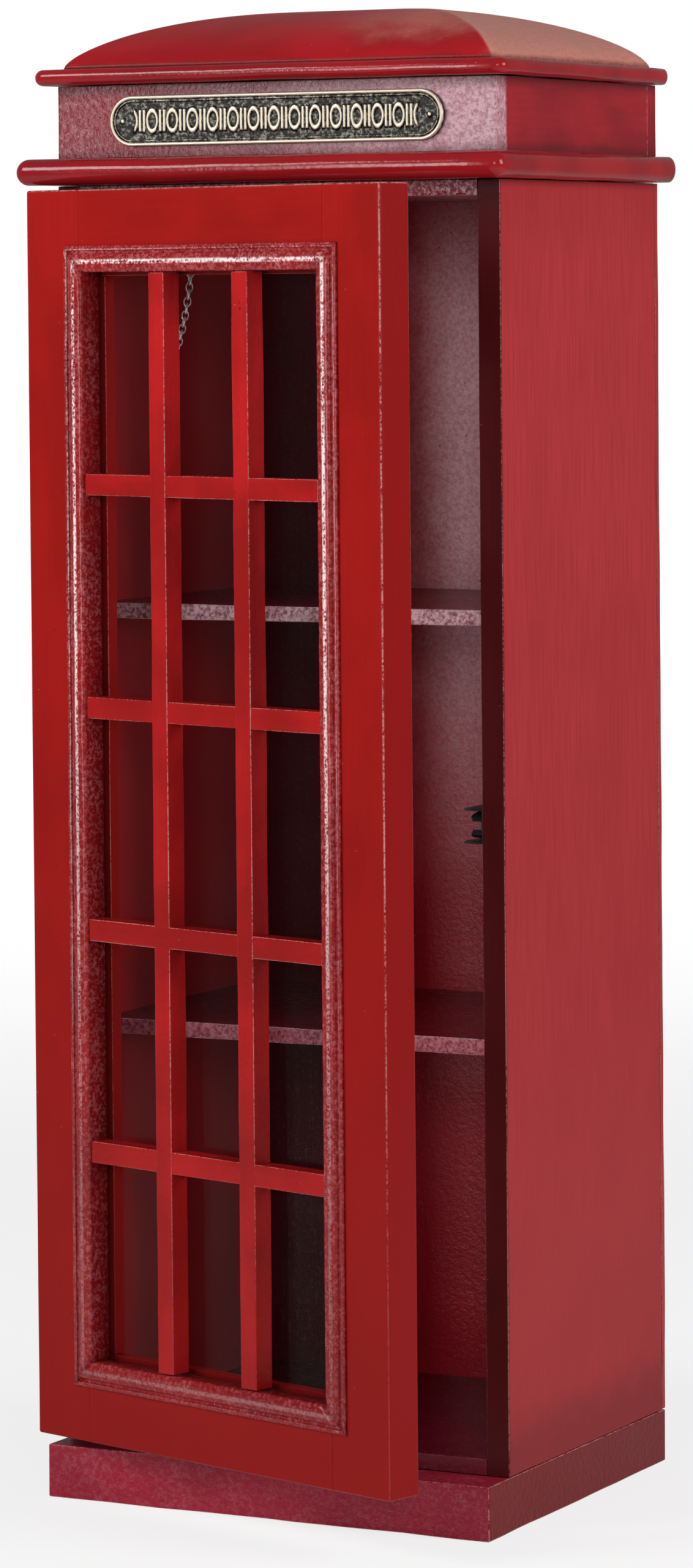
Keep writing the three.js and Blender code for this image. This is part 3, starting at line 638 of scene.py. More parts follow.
def grid_faces(rows: int, columns: int, ring: bool = False) -> Array:
    """Quads over a grid of points numbered row by row.

    Args:
        rows: the number of rows.
        columns: the number of points in a row.
        ring: whether each row closes on itself.

    Returns:
        One row of four point numbers for each quad.
    """
    last = columns if ring else columns - 1
    r, c = np.meshgrid(np.arange(rows - 1), np.arange(last), indexing="ij")
    near, far = r * columns, (r + 1) * columns
    step = (c + 1) % columns
    return np.stack([near + c, near + step, far + step, far + c], -1).reshape(-1, 4)


def board(
    low: Array, high: Array, ease_low: Array, ease_high: Array, uneven: float, seed: int
) -> Surface:
    """A box whose edges are eased to a round, and whose faces are a little uneven.

    Each point of the sharp box is drawn to the nearest point of a smaller box inside it, and set
    back out by the easing: p = inner + ease * n / |n|, where n is its offset in easings.

    Args:
        low: the lowest corner.
        high: the highest corner.
        ease_low: the easing at the low end of each axis.
        ease_high: the easing at the high end of each axis.
        uneven: the height of the surface's waves.
        seed: picks the waves.

    Returns:
        Points, faces, and each point's nearness to an arris.
    """
    arc = np.tan(np.linspace(0, np.pi / 4, ARC_POINTS))
    lines = []
    for axis in range(3):
        start, end = low[axis] + ease_low[axis], high[axis] - ease_high[axis]
        near, far = (
            min(EDGE_BAND, 2 * ease, (end - start) * 0.2)
            for ease in (ease_low[axis], ease_high[axis])
        )
        count = max(2, int((end - start) / FLAT_STEP) + 1)
        flat = np.linspace(start + near, end - far, count) if end - start > 1e-6 else []
        line = [start - ease_low[axis] * arc[::-1], flat, end + ease_high[axis] * arc]
        lines.append(np.unique(np.round(np.concatenate(line), 9)))
    points, faces, base = [], [], 0
    for axis in range(3):
        one, two = (axis + 1) % 3, (axis + 2) % 3
        u, v = np.meshgrid(lines[one], lines[two], indexing="ij")
        quads = grid_faces(len(lines[one]), len(lines[two]))
        for value, outward in ((lines[axis][0], False), (lines[axis][-1], True)):
            sheet = np.empty((u.size, 3))
            sheet[:, axis], sheet[:, one], sheet[:, two] = value, u.ravel(), v.ravel()
            points.append(sheet)
            faces.append(base + (quads[:, ::-1] if outward else quads))
            base += u.size
    sharp, number = np.unique(np.round(np.concatenate(points), 8), axis=0, return_inverse=True)
    inner = np.clip(sharp, low + ease_low, high - ease_high)
    away = sharp - inner
    ease = np.where(away < 0, ease_low, ease_high)
    offset = away / ease
    normal = offset / np.linalg.norm(offset, axis=1, keepdims=True)
    size = np.sort(np.abs(offset) * (ease > SHARP_EASE), axis=1)
    arris = np.clip(size[:, 1] / np.maximum(size[:, 2], 1e-9), 0, 1)
    where = inner + ease * normal
    where += normal * (uneven * waves(where, BOARD_WAVE, seed) - uneven)[:, None]
    quads = number.reshape(-1)[np.concatenate(faces)]
    return where, [tuple(q) for q in quads.tolist()], arris


def stacked_outlines(
    low: Array, high: Array, levels: Array, corner: Array, back: Array, segments: int = 7
) -> Surface:
    """Rounded rectangles stacked upwards, each set in from the first, closed top and bottom.

    Args:
        low: the lowest corner of the first outline, as x and y.
        high: its highest corner.
        levels: one row of (inset, height) for each outline.
        corner: the plan radius of each outline's corners.
        back: the inset of each outline's rear edge.
        segments: the points in each corner's arc.

    Returns:
        Points, faces, and zeros for nearness to an arris.
    """
    rings = []
    for (inset, height), radius, rear in zip(levels, corner, back):
        x0, x1 = low[0] + inset, high[0] - inset
        y0, y1 = low[1] + inset, high[1] - rear
        r = min(radius, (x1 - x0) / 2, (y1 - y0) / 2)
        plan = []
        for cx, cy, start in (
            (x1 - r, y0 + r, -0.5),
            (x1 - r, y1 - r, 0.0),
            (x0 + r, y1 - r, 0.5),
            (x0 + r, y0 + r, 1.0),
        ):
            angle = np.pi * (start + np.linspace(0, 0.5, segments))
            plan.append(np.stack([cx + r * np.cos(angle), cy + r * np.sin(angle)], 1))
        ring = []
        for index, arc in enumerate(plan):
            following = plan[(index + 1) % 4][0]
            share = np.linspace(0, 1, STRETCH_POINTS + 1)[1:-1, None]
            ring += [arc, arc[-1] * (1 - share) + following * share]
        ring = np.concatenate(ring)
        rings.append(np.column_stack([ring, np.full(len(ring), height)]))
    count = len(rings[0])
    points = np.concatenate(rings)
    faces = [tuple(q) for q in grid_faces(len(rings), count, ring=True).tolist()]
    faces.append(tuple(range(count - 1, -1, -1)))
    top = (len(rings) - 1) * count
    faces.append(tuple(range(top, top + count)))
    return points, faces, np.zeros(len(points))


@dataclass(frozen=True)
class Space:
    """Where a body's pieces are laid out: square to the axes, then turned about an upright line."""

    body: str
    pin: tuple[float, float] = (0.0, 0.0)
    turn: float = 0.0

    def _matrix(self) -> Array:
        """The turn as a matrix that multiplies rows."""
        c, s = math.cos(self.turn), math.sin(self.turn)
        return np.array([[c, s, 0.0], [-s, c, 0.0], [0.0, 0.0, 1.0]])

    def squared_pin(self) -> Array:
        """Where the pin lies once the row frame is squared up by the turn alone."""
        return np.array([*self.pin, 0.0]) @ self._matrix().T

    def outward(self, points: Array) -> Array:
        """Squared-up points to the row frame."""
        return np.asarray(points) @ self._matrix() + np.array([*self.pin, 0.0])

    def box(self, node: str) -> tuple[Array, Array]:
        """The corners of a solid in this space.

        Args:
            node: the solid's name.

        Returns:
            Its lowest and highest corners.
        """
        mesh = bpy.data.objects[node].data
        points = np.empty(len(mesh.vertices) * 3, np.float32)
        mesh.vertices.foreach_get("co", points)
        square = (points.reshape(-1, 3) - np.array([*self.pin, 0.0])) @ self._matrix().T
        return square.min(0).astype(float), square.max(0).astype(float)

    def piece(
        self,
        name: str,
        surface: Surface,
        material: bpy.types.Material,
        slot: str,
        nodes: Iterable[str] = (),
        attribute: str = "arris",
        extra: Optional[dict[str, Array]] = None,
    ) -> bpy.types.Object:
        """Makes a surface a piece of the object.

        Args:
            name: the piece's name.
            surface: its points, faces and one number for each point.
            material: its finish.
            slot: the record's material slot that it stands for; not used.
            nodes: the solids that it replaces.
            attribute: the name that the numbers go by.
            extra: further numbers for each point, by name.

        Returns:
            The piece.
        """
        points, faces, numbers = surface
        mesh = bpy.data.meshes.new(name)
        mesh.from_pydata(self.outward(points).tolist(), [], faces)
        mesh.polygons.foreach_set("use_smooth", np.ones(len(mesh.polygons), bool))
        for label, values in {attribute: numbers, **(extra or {})}.items():
            layer = mesh.attributes.new(label, "FLOAT", "POINT")
            layer.data.foreach_set("value", np.asarray(values, np.float32))
        mesh.materials.append(material)
        mesh.update()
        made = bpy.data.objects.new(name, mesh)
        bpy.context.scene.collection.objects.link(made)
        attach(made, self.body)
        nodes = tuple(nodes)
        if nodes:
            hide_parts(*nodes)
        LOG.info("%s: %d faces on %s", name, len(faces), self.body)
        return made


    def refine(
        self, node: str, paint: bpy.types.Material, slot: str, seed: int, ease: Ease,
        far_ease: Optional[Ease] = None, uneven: float = 0.10 * MM,
        corners: Optional[tuple[Array, Array]] = None,
    ) -> None:
        """Replaces a plain board with an eased and slightly uneven one.

        Args:
            node: the board's name.
            paint: its finish.
            slot: its material slot.
            seed: picks its unevenness.
            ease: how far its edges are eased, or how far at the low end of each axis.
            far_ease: how far at the high end of each axis, if that differs.
            uneven: the height of its unevenness.
            corners: its lowest and highest corners, if they aren't the solid's.
        """
        low, high = corners or self.box(node)
        near = np.broadcast_to(np.asarray(ease, float), 3)
        far = near if far_ease is None else np.broadcast_to(np.asarray(far_ease, float), 3)
        shape = board(low, high, near, far, uneven, seed)
        self.piece(node + "_finished", shape, paint, slot, [node])


def dress(nodes: Iterable[str], material: bpy.types.Material) -> None:
    """Lays a finish on solids that are shown as they are.

    Args:
        nodes: their names.
        material: the finish.
    """
    for node in nodes:
        mesh = bpy.data.objects[node].data
        mesh.materials.clear()
        mesh.materials.append(material)
        LOG.info("%s: dressed in %s", node, material.name)


# ---------------------------------------------------------------- carcass
@dataclass
class Carcass:
    """The base slab, side panels, cross boards, back panel and shelves."""

    space: Space
    ease: float = 0.9 * MM
    slab_ease: float = 1.26 * MM
    sharp: float = 0.4 * MM
    # painted sheen on the shelves' front edges, upper then lower
    shelf_front_sheens: tuple[Colour, Colour] = ((0.74, 0.42, 0.46), (0.60, 0.15, 0.19))
    # painted light on the left panel's inner face
    inner_face_light: Colour = (0.70, 0.030, 0.040)
    outside: Paint = Paint(
        colour=(0.42, 0.031, 0.036), deep=(0.30, 0.016, 0.020), tone=0.35, streak=1.3, wear_and_highlight=0.45,
        # painted shade under the eaves and deepening downwards; darker near the floor
        specks=0.45, foot=0.06, eaves=0.80, gloss=0.40, shine=0.14, painted_shade_below=0.55,
        # painted shadow: the open door's shadow on the side panels' front edges
        zones=(Zone((0.05, 0.003, 0.004), 0.92, inward=(-0.0984, -0.0995)),),
    )
    slab: Paint = Paint(
        colour=(0.32, 0.011, 0.034), deep=(0.17, 0.005, 0.016), lumps=0.00060, lump_scale=260.0,
        # the flecks paint the front's sheen
        orange_peel=0.00012, gloss=0.30, wear_and_highlight=0.7, specks=0.8, sheen_flecks=0.12, shine=0.18,
        # painted shade on the slab's two ends
        zones=both_sides((0.15, 0.005, 0.007), 0.95, 0.1486, 0.1496),
    )
    inside: Paint = Paint(
        colour=(0.26, 0.009, 0.020), deep=(0.11, 0.003, 0.008), pale=(0.66, 0.40, 0.42),
        lumps=0.00045, lump_scale=300.0, orange_peel=0.00008, gloss=0.24, wear_and_highlight=1.0, specks=0.5,
        # the flecks paint a speckled sheen
        sheen_flecks=0.85, shine=0.25, sheen_fleck_colour=(0.80, 0.56, 0.60), sheen_fleck_scale=400.0,
    )
    shelving: Paint = Paint(
        colour=(0.20, 0.007, 0.013), deep=(0.10, 0.003, 0.006), pale=(0.80, 0.56, 0.60),
        lumps=0.00030, gloss=0.28, wear_and_highlight=1.0, specks=0.6, shine=0.22,
    )
    floor: Paint = Paint(
        colour=(0.14, 0.006, 0.018), deep=(0.06, 0.003, 0.008), lumps=0.00030, gloss=0.26,
        wear_and_highlight=0.5, specks=0.7, shine=0.22,
    )
    behind: Paint = Paint(
        colour=(0.15, 0.006, 0.011), deep=(0.08, 0.003, 0.006), lumps=0.00045, lump_scale=300.0,
        orange_peel=0.00014, gloss=0.26, specks=1.0, shine=0.25,
        zones=(
            # painted light: the back panel brighter right of the middle, where light comes through
            # the door's gap
            Zone((0.42, 0.010, 0.024), 0.9, across=(-0.05, -0.01), ragged=0.02),
            # painted reflection: a pale speckled sheen on the back panel's upper middle
            Zone((0.76, 0.42, 0.45), 0.95, across=(-0.04, 0.015), upward=(0.32, 0.58),
                 fading=(0.86, 0.72), ragged=0.03, speckle=0.45),
            Zone((0.26, 0.010, 0.014), 1.0, inward=(0.1236, 0.1244)),
            *both_sides((0.34, 0.020, 0.024), 1.0, 0.1488, 0.1496),
        ),
    )

    def _left_side(self) -> Paint:
        """The left panel's paint: as outside, with painted light brightening the face that lines
        the inside.
        """
        face = self.space.box("left_side_panel")[1][0]
        inner_face_light = Zone(self.inner_face_light, 0.9, across=(face - 1.0 * MM, face - 0.3 * MM))
        return replace(self.outside, zones=(*self.outside.zones, inner_face_light))

    def _shelf(self, node: str, colour: Colour) -> Paint:
        """A shelf's paint, with a painted sheen along its front edge.

        Args:
            node: the shelf's name.
            colour: the painted sheen's tone on the front edge.

        Returns:
            The paint.
        """
        front = self.space.box(node)[0][1]
        edge = Zone(colour, 0.9, inward=(front + 1.2 * MM, front + 0.5 * MM), speckle=0.95)
        return replace(self.shelving, zones=(edge,))

    def build(self) -> None:
        """Makes and dresses every board."""
        slab = self.slab.material("slab_paint", Grain.ACROSS)
        left = self._left_side().material("left_side_paint", Grain.UPRIGHT)
        right = self.outside.material("side_paint", Grain.UPRIGHT)
        above = self.inside.material("inner_paint", Grain.ACROSS)
        below = self.floor.material("inner_floor_paint", Grain.ACROSS)
        back = self.behind.material("back_paint", Grain.UPRIGHT)
        upper, lower = (
            self._shelf(node, colour).material(node + "_paint", Grain.ACROSS)
            for node, colour in zip(("upper_shelf", "lower_shelf"), self.shelf_front_sheens)
        )
        plan = (
            ("base_slab", slab, "red_paint", self.slab_ease, 0.25 * MM),
            ("left_side_panel", left, "red_paint", self.ease, 0.10 * MM),
            ("right_side_panel", right, "red_paint", self.ease, 0.10 * MM),
            ("top_board", above, "dark_red_paint", self.sharp, 0.10 * MM),
            ("bottom_board", below, "dark_red_paint", self.sharp, 0.10 * MM),
            ("back_panel", back, "dark_red_paint", self.sharp, 0.30 * MM),
            ("upper_shelf", upper, "dark_red_paint", self.ease, 0.25 * MM),
            ("lower_shelf", lower, "dark_red_paint", self.ease, 0.25 * MM),
        )
        for seed, (node, paint, slot, ease, uneven) in enumerate(plan, 3):
            self.space.refine(node, paint, slot, seed, ease, uneven=uneven)


# ---------------------------------------------------------------- header
@dataclass
class Header:
    """The two cornices, the frieze between them and the roof."""

    space: Space
    corner: float = 8.0 * MM
    hip: float = 5.0 * MM
    frieze_ease: float = 0.7 * MM
    seam: Colour = (0.10, 0.010, 0.010)
    # painted shade along the frieze's top and bottom edges, next to the cornices
    rim: Colour = (0.10, 0.004, 0.008)
    paint: Paint = Paint(
        colour=(0.34, 0.010, 0.015), deep=(0.16, 0.005, 0.008), lumps=0.00014, lump_scale=230.0,
        gloss=0.12, coat=0.14, wear_and_highlight=0.6, specks=0.7, shine=0.2,
    )
    frieze: Paint = Paint(
        colour=(0.24, 0.010, 0.022), deep=(0.12, 0.004, 0.010), lumps=0.00036, lump_scale=340.0,
        orange_peel=0.00008, gloss=0.20, wear_and_highlight=0.8, specks=0.9, sheen_flecks=0.30, shine=0.3,
        # painted reflection: the flecks and this pale zone, stronger towards the right end, paint
        # the front's sheen
        zones=(Zone((0.72, 0.48, 0.56), 0.70, across=(-0.08, 0.13), ragged=0.05, speckle=0.7),),
    )
    ends: Paint = Paint(
        colour=(0.34, 0.011, 0.020), deep=(0.14, 0.004, 0.008), tone=0.7, streak=0.5, wear_and_highlight=0.6,
        specks=0.8, gloss=0.34, shine=0.2,
    )
    dome: Paint = Paint(
        colour=(0.43, 0.009, 0.014), deep=(0.25, 0.006, 0.009), lumps=0.00010, gloss=0.36,
        tone=0.6, wear_and_highlight=0.5, specks=0.8, shine=0.15,
        zones=(
            # painted sheen: tan on the right slope and on its upper part
            Zone((0.62, 0.28, 0.22), 0.85, attribute="right_slope_sheen", ragged=0.04, speckle=0.25),
            Zone((0.58, 0.22, 0.17), 0.6, across=(0.0, 0.10), upward=(0.884, 0.904),
                 ragged=0.03, speckle=0.25),
        ),
    )

    def _cornice(self, node: str, paint: bpy.types.Material) -> None:
        """A slab whose front and side edges are half round and whose rear edge is square.

        The half round is inset = nose * (1 - cos a) at height = middle + nose * sin a.

        Args:
            node: the slab's name.
            paint: its finish.
        """
        low, high = self.space.box(node)
        nose = (high[2] - low[2]) / 2
        angle = np.linspace(-np.pi / 2, np.pi / 2, 17)
        inset = nose * (1 - np.cos(angle))
        height = low[2] + nose * (1 + np.sin(angle))
        flat = np.array([[nose + 20 * MM, low[2]], [nose + 4 * MM, low[2]]])
        levels = np.concatenate([flat, np.stack([inset, height], 1), flat[::-1] + [0, 2 * nose]])
        corner = np.maximum(self.corner - levels[:, 0], 1 * MM)
        rear = np.where(levels[:, 0] > nose, 0.4 * MM, 0.0)
        points, faces, arris = stacked_outlines(low[:2], high[:2], levels, corner, rear)
        points[:, 2] += 0.22 * MM * waves(points, 0.07, 21)
        self.space.piece(node + "_finished", (points, faces, arris), paint, "red_paint", [node])

    def _roof(self) -> None:
        """The dome: height = rise * (1 - (1 - s)^2) ^ (1 / 1.6), s running from edge to ridge.

        An attribute is 1 on the slope to the right and 0 elsewhere, past a soft hip; it marks where
        a tan painted sheen is laid.
        """
        low, high = self.space.box("roof")
        seam = Zone(self.seam, 0.75, fading=(low[2] + 4.2 * MM, low[2] + 0.8 * MM), ragged=0.006,
                    speckle=0.5)
        paint = replace(self.dome, zones=(*self.dome.zones, seam)).material(
            "roof_paint", Grain.ACROSS
        )
        half = (high[1] - low[1]) / 2
        s = np.append(0.0, 1 - np.cos(np.linspace(0.10, np.pi / 2 - 0.02, 26)))
        height = low[2] + (high[2] - low[2]) * (1 - (1 - s) ** 2) ** (1 / 1.6)
        levels = np.stack([s * half, height], 1)
        corner = 3 * MM + 0.12 * levels[:, 0]
        points, faces, arris = stacked_outlines(
            low[:2], high[:2], levels, corner, levels[:, 0], segments=11
        )
        rise = (points[:, 2] - low[2]) / (high[2] - low[2])
        points[:, 2] += 1.5 * MM * (waves(points, 0.12, 31) - 1) * rise * (1 - rise)
        inset = np.repeat(levels[:, 0], len(points) // len(levels))
        # the right slope, where the tan painted sheen is laid
        right_slope_sheen = np.clip((points[:, 0] - high[0] + inset + self.hip) / self.hip, 0, 1)
        self.space.piece("roof_finished", (points, faces, arris), paint, "red_paint", ["roof"],
                         extra={"right_slope_sheen": right_slope_sheen})

    def build(self) -> None:
        """Makes and dresses the header."""
        paint = self.paint.material("cornice_paint", Grain.ACROSS)
        self._cornice("lower_cornice", paint)
        self._cornice("upper_cornice", paint)
        low, high = self.space.box("frieze_front_board")
        # painted shade along the frieze's top and bottom, next to the cornices
        cornice_shades = (
            Zone(self.rim, 0.6, upward=(high[2] - 9 * MM, high[2] - 1 * MM), ragged=0.01),
            Zone(self.rim, 0.6, fading=(low[2] + 8 * MM, low[2] + 1 * MM), ragged=0.01),
        )
        front = replace(self.frieze, zones=(*self.frieze.zones, *cornice_shades))
        plain = replace(self.ends, zones=cornice_shades)
        frieze = front.material("frieze_paint", Grain.ACROSS)
        ends = plain.material("frieze_end_paint", Grain.INWARD)
        rear = plain.material("frieze_rear_paint", Grain.ACROSS)
        for seed, (side, finish) in enumerate(
            (("front", frieze), ("back", rear), ("left", ends), ("right", ends)), 40
        ):
            node = f"frieze_{side}_board"
            self.space.refine(node, finish, "red_paint", seed, self.frieze_ease, uneven=0.15 * MM)
        self._roof()


@dataclass
class Plaque:
    """A cast plate with a rolled rim, an inner line and a running ornament in relief."""

    space: Space
    across: int = 760  # the grid's points along the plate
    up: int = 64  # and up it
    rim: float = 2.4 * MM
    relief: float = 1.3 * MM
    pitch: float = 13.6 * MM
    stroke: float = 1.1 * MM

    def _field(self, along: Array, rise: Array, half: float, tall: float) -> Array:
        """How high the casting stands: rim, inner line, a bead-and-reel border and two pins.

        Each pitch of the border holds an oval ring and, halfway to the next one, an upright reel.
        A line stands as exp(-(distance / stroke) ^ 4).

        Args:
            along: each point's place along the plate, from its middle.
            rise: its place up the plate, from its middle.
            half: the half length of the plate's straight part.
            tall: the plate's half height.

        Returns:
            Heights from 0, the sunk field, to 1, the rim's top.
        """
        beyond = np.maximum(np.abs(along) - half, 0.0)
        edge = tall - np.hypot(beyond, rise)
        rim = np.clip(1 - ((edge - self.rim * 0.5) / (self.rim * 0.55)) ** 2, 0, 1) ** 0.5
        line = np.exp(-(((edge - self.rim * 1.45) / (0.42 * MM)) ** 2)) * 0.7
        high = tall * 0.40
        reach = np.clip((half - np.abs(along)) / (2 * MM), 0, 1)
        cells = round(2 * half / self.pitch)
        cell = (along / (2 * half) * cells + 0.5 * (cells % 2 - 1)) % 1.0
        x = np.abs(cell - 0.5) * 2 * half / cells
        oval = self.pitch * 0.25
        ring = np.abs(np.hypot(x / oval, rise / high) - 1) * oval
        reel = np.maximum(np.abs(x - self.pitch * 0.41), np.abs(rise) - high * 0.94)
        stroke = np.exp(-((np.minimum(ring * 1.15, reel) / self.stroke) ** 4)) * reach
        pin = np.exp(-((np.hypot(np.abs(along) - half - tall * 0.42, rise) / (1.6 * MM)) ** 4))
        return np.maximum.reduce([rim, line, stroke * 0.85, pin * 0.9])

    def build(self) -> None:
        """Makes the plate: a grid in relief in front, a flat copy behind, and a strip round both.

        Each row of the grid reaches half + sqrt(tall^2 - rise^2), which gives the round ends.
        """
        low, high = self.space.box("plaque")
        tall = (high[2] - low[2]) / 2
        half = (high[0] - low[0]) / 2 - tall
        centre = (low + high) / 2
        rows, columns = self.up, self.across
        u, v = np.meshgrid(np.linspace(-1, 1, columns), np.linspace(-1, 1, rows), indexing="ij")
        v = np.sin(v * np.pi / 2) * 0.25 + v * 0.75
        rise = v * tall
        reach = half + np.sqrt(np.maximum(tall**2 - rise**2, 0.0))
        along = u * reach
        height = self._field(along, rise, half, tall)
        beyond = np.maximum(np.abs(along) - half, 0.0)
        edge = np.clip((tall - np.hypot(beyond, rise)) / (0.6 * MM), 0, 1)
        thick = high[1] - low[1]
        face = low[1] + self.relief * (1 - height) + (1 - edge) * (thick - self.relief * 0.2) * 0.5
        grid = np.stack([centre[0] + along, face, centre[2] + rise], -1)
        points = grid.reshape(-1, 3)
        faces = grid_faces(columns, rows)
        back = points.copy()
        back[:, 1] = high[1]
        count = len(points)
        quads = np.concatenate([faces[:, ::-1], faces + count])
        sides = []
        for rim in (
            np.arange(columns) * rows,
            np.arange(columns)[::-1] * rows + rows - 1,
            np.arange(rows)[::-1],
            (columns - 1) * rows + np.arange(rows),
        ):
            sides.append(np.stack([rim[1:], rim[:-1], rim[:-1] + count, rim[1:] + count], 1))
        quads = np.concatenate([quads, *sides])
        surface = (np.concatenate([points, back]), [tuple(q) for q in quads.tolist()],
                   np.concatenate([height.ravel(), np.zeros(count)]))
        self.space.piece("plaque_cast", surface, Pewter().material("aged_pewter"),
                         "aged_pewter", ["plaque"], "raised")


# ---------------------------------------------------------------- door
@dataclass
class Door:
    """The door's frame, mouldings, glazing bars, stops and glass."""

    space: Space
    ease: float = 1.6 * MM
    bar_ease: float = 0.9 * MM
    stop_ease: float = 0.5 * MM
    setback: float = 0.25 * MM  # the cross bars' faces behind the upright ones'
    joint: float = 0.12 * MM  # the easing where a rail meets a stile
    lap: float = 0.048 * MM  # the rails' reach into that joint
    flatness: float = 0.06 * MM
    soft: float = 0.6 * MM  # the rounding of the bead's small steps
    lip: float = 3.5 * MM
    bead_step: float = 8 * MM
    # painted shade on the closing stile's edge face
    closing_edge_shade: Colour = (0.24, 0.005, 0.005)
    paint: Paint = Paint(
        colour=(0.36, 0.0085, 0.0070), deep=(0.22, 0.005, 0.004), tone=0.55, streak=0.25, wear_and_highlight=0.8,
        # the deepening downwards is painted shade
        specks=0.45, gloss=0.32, shine=0.10, painted_shade_below=0.8, rub_and_highlight_heights=(0.10, 0.45),
    )
    bars: Paint = Paint(
        colour=(0.52, 0.013, 0.014), deep=(0.24, 0.006, 0.006), tone=0.8, streak=0.3,
        # the deepening downwards is painted shade
        lumps=0.00020, wear_and_highlight=0.9, specks=1.0, gloss=0.28, shine=0.14, painted_shade_below=0.55,
        rub_and_highlight_heights=(0.05, 0.35),
    )
    moulding: Paint = Paint(
        # painted highlight: the near-white pale rub on the crown, strongest up high; the flecks
        # paint the sheen; the deepening downwards is painted shade
        colour=(0.33, 0.008, 0.009), deep=(0.13, 0.003, 0.005), pale=(0.95, 0.76, 0.74),
        lumps=0.00034, lump_scale=260.0, gloss=0.20, wear_and_highlight=1.0, specks=0.9, coat=0.10, shine=0.20,
        painted_shade_below=0.4, rub_and_highlight_heights=(0.16, 0.62), sheen_flecks=0.38, sheen_fleck_colour=(0.85, 0.30, 0.33), sheen_fleck_scale=420.0,
    )

    def _bead_section(self, width: float, proud: float, sunk: float) -> Array:
        """The moulding's section: a fillet, a hollow, a fat round, and the lip down to the glass.

        Args:
            width: from its outer edge to the daylight.
            proud: how far the round stands above the door's face.
            sunk: how far the lip goes below it.

        Returns:
            One row of (in from the outer edge, up from the door's face) for each point.
        """
        fillet, hollow = width * 0.17, width * 0.30
        round_half = (width - hollow) / 2
        turn = np.linspace(np.pi, 0, 17)
        swell = proud * (0.12 + 0.88 * np.sin(turn) ** 0.8)
        bead = np.stack([hollow + round_half * (1 + np.cos(turn)), swell], 1)
        step = np.linspace(np.pi / 2, 0, 5)
        soft, under = self.soft, -0.2 * MM
        shoulder = np.stack(
            [fillet - soft + soft * np.cos(step), proud * 0.55 - soft + soft * np.sin(step)], 1
        )
        start = np.array([[0.0, under], [0.0, proud * 0.4], [soft, proud * 0.55]])
        dip = np.array([[fillet, proud * 0.12], [hollow - soft, proud * 0.05]])
        inner = width - self.lip
        lip = np.array([[width, -proud * 0.4], [width, sunk], [inner, sunk], [inner, under]])
        return np.concatenate([start, shoulder, dip, bead, lip])

    def _bead(
        self, node: str, upright: bool, near: bool, paint: bpy.types.Material, seed: int
    ) -> None:
        """One mitred length: the section carried along its side of the opening.

        A point that lies w in from the outer edge starts w after the length's corner and ends w
        before its other one, which mitres both ends.

        Args:
            node: the length's name.
            upright: whether it stands or lies.
            near: whether it is on the low side of the opening.
            paint: its finish.
            seed: picks its unevenness.
        """
        low, high = self.space.box(node)
        run, across = (2, 0) if upright else (0, 2)
        width = high[across] - low[across]
        face = self.space.box("door_hinge_stile")[0][1]
        section = self._bead_section(width, face - low[1], face - high[1])
        share = np.linspace(0, 1, int((high[run] - low[run]) / self.bead_step))
        inward, above = section[:, 0], section[:, 1]
        start = low[run] + inward[None, :]
        end = high[run] - inward[None, :]
        along = start * (1 - share[:, None]) + end * share[:, None]
        grid = np.zeros((*along.shape, 3))
        grid[..., run] = along
        grid[..., across] = low[across] + inward if near else high[across] - inward
        grid[..., 1] = face - above
        points = grid.reshape(-1, 3)
        raised = np.tile(above, len(share)) > 0.4 * MM
        points[:, 1] += 0.22 * MM * waves(points, 0.016, seed) * raised
        points[:, 1] = np.maximum(points[:, 1], low[1])
        faces = grid_faces(len(share), len(section), ring=True)
        count = len(section)
        ends = [tuple(range(count))[::-1], tuple(range(len(points) - count, len(points)))]
        quads = [tuple(q) for q in faces.tolist()] + ends
        if upright != near:
            quads = [q[::-1] for q in quads]
        # painted highlight lines: the round's crown and the small step carry the pale rub
        crown_highlight = np.exp(-(((inward / width - 0.60) / 0.10) ** 2))
        step = np.exp(-(((inward / width - 0.15) / 0.04) ** 2)) * 0.6
        proud = face - low[1]
        arris = np.where(above > proud * 0.3, np.maximum(crown_highlight, step), 0)
        surface = (points, quads, np.tile(arris, len(share)))
        self.space.piece(node + "_finished", surface, paint, "door_red_paint", [node])

    def _frame(self, upright: bpy.types.Material, level: bpy.types.Material) -> None:
        """The stiles and rails, with edges left sharp where they join.

        Args:
            upright: the stiles' finish.
            level: the rails' finish.
        """
        turn, slot, tight, ease = self.space.turn, "door_red_paint", self.joint, self.ease
        left = self.space.box("door_hinge_stile")[1][0]
        right, outer = (corner[0] for corner in self.space.box("door_closing_stile"))
        edge = self.space.squared_pin()[0] + outer
        shade = Zone(self.closing_edge_shade, 0.85, across=(edge - 1.6 * MM, edge - 0.4 * MM))
        closing = replace(self.paint, zones=(shade,)).material(
            "closing_stile_paint", Grain.UPRIGHT, turn
        )
        stiles = (
            ("door_hinge_stile", ease, tight, upright),
            ("door_closing_stile", tight, ease, closing),
        )
        for seed, (node, near, far, paint) in enumerate(stiles, 50):
            eases = (near, ease, ease), (far, ease, ease)
            self.space.refine(node, paint, slot, seed, *eases, self.flatness)
        for seed, node in enumerate(("door_bottom_rail", "door_top_rail"), 52):
            low, high = self.space.box(node)
            low[0], high[0] = left - self.lap, right + self.lap
            eases = (tight, ease, ease), (tight, ease, ease)
            self.space.refine(node, level, slot, seed, *eases, self.flatness, (low, high))

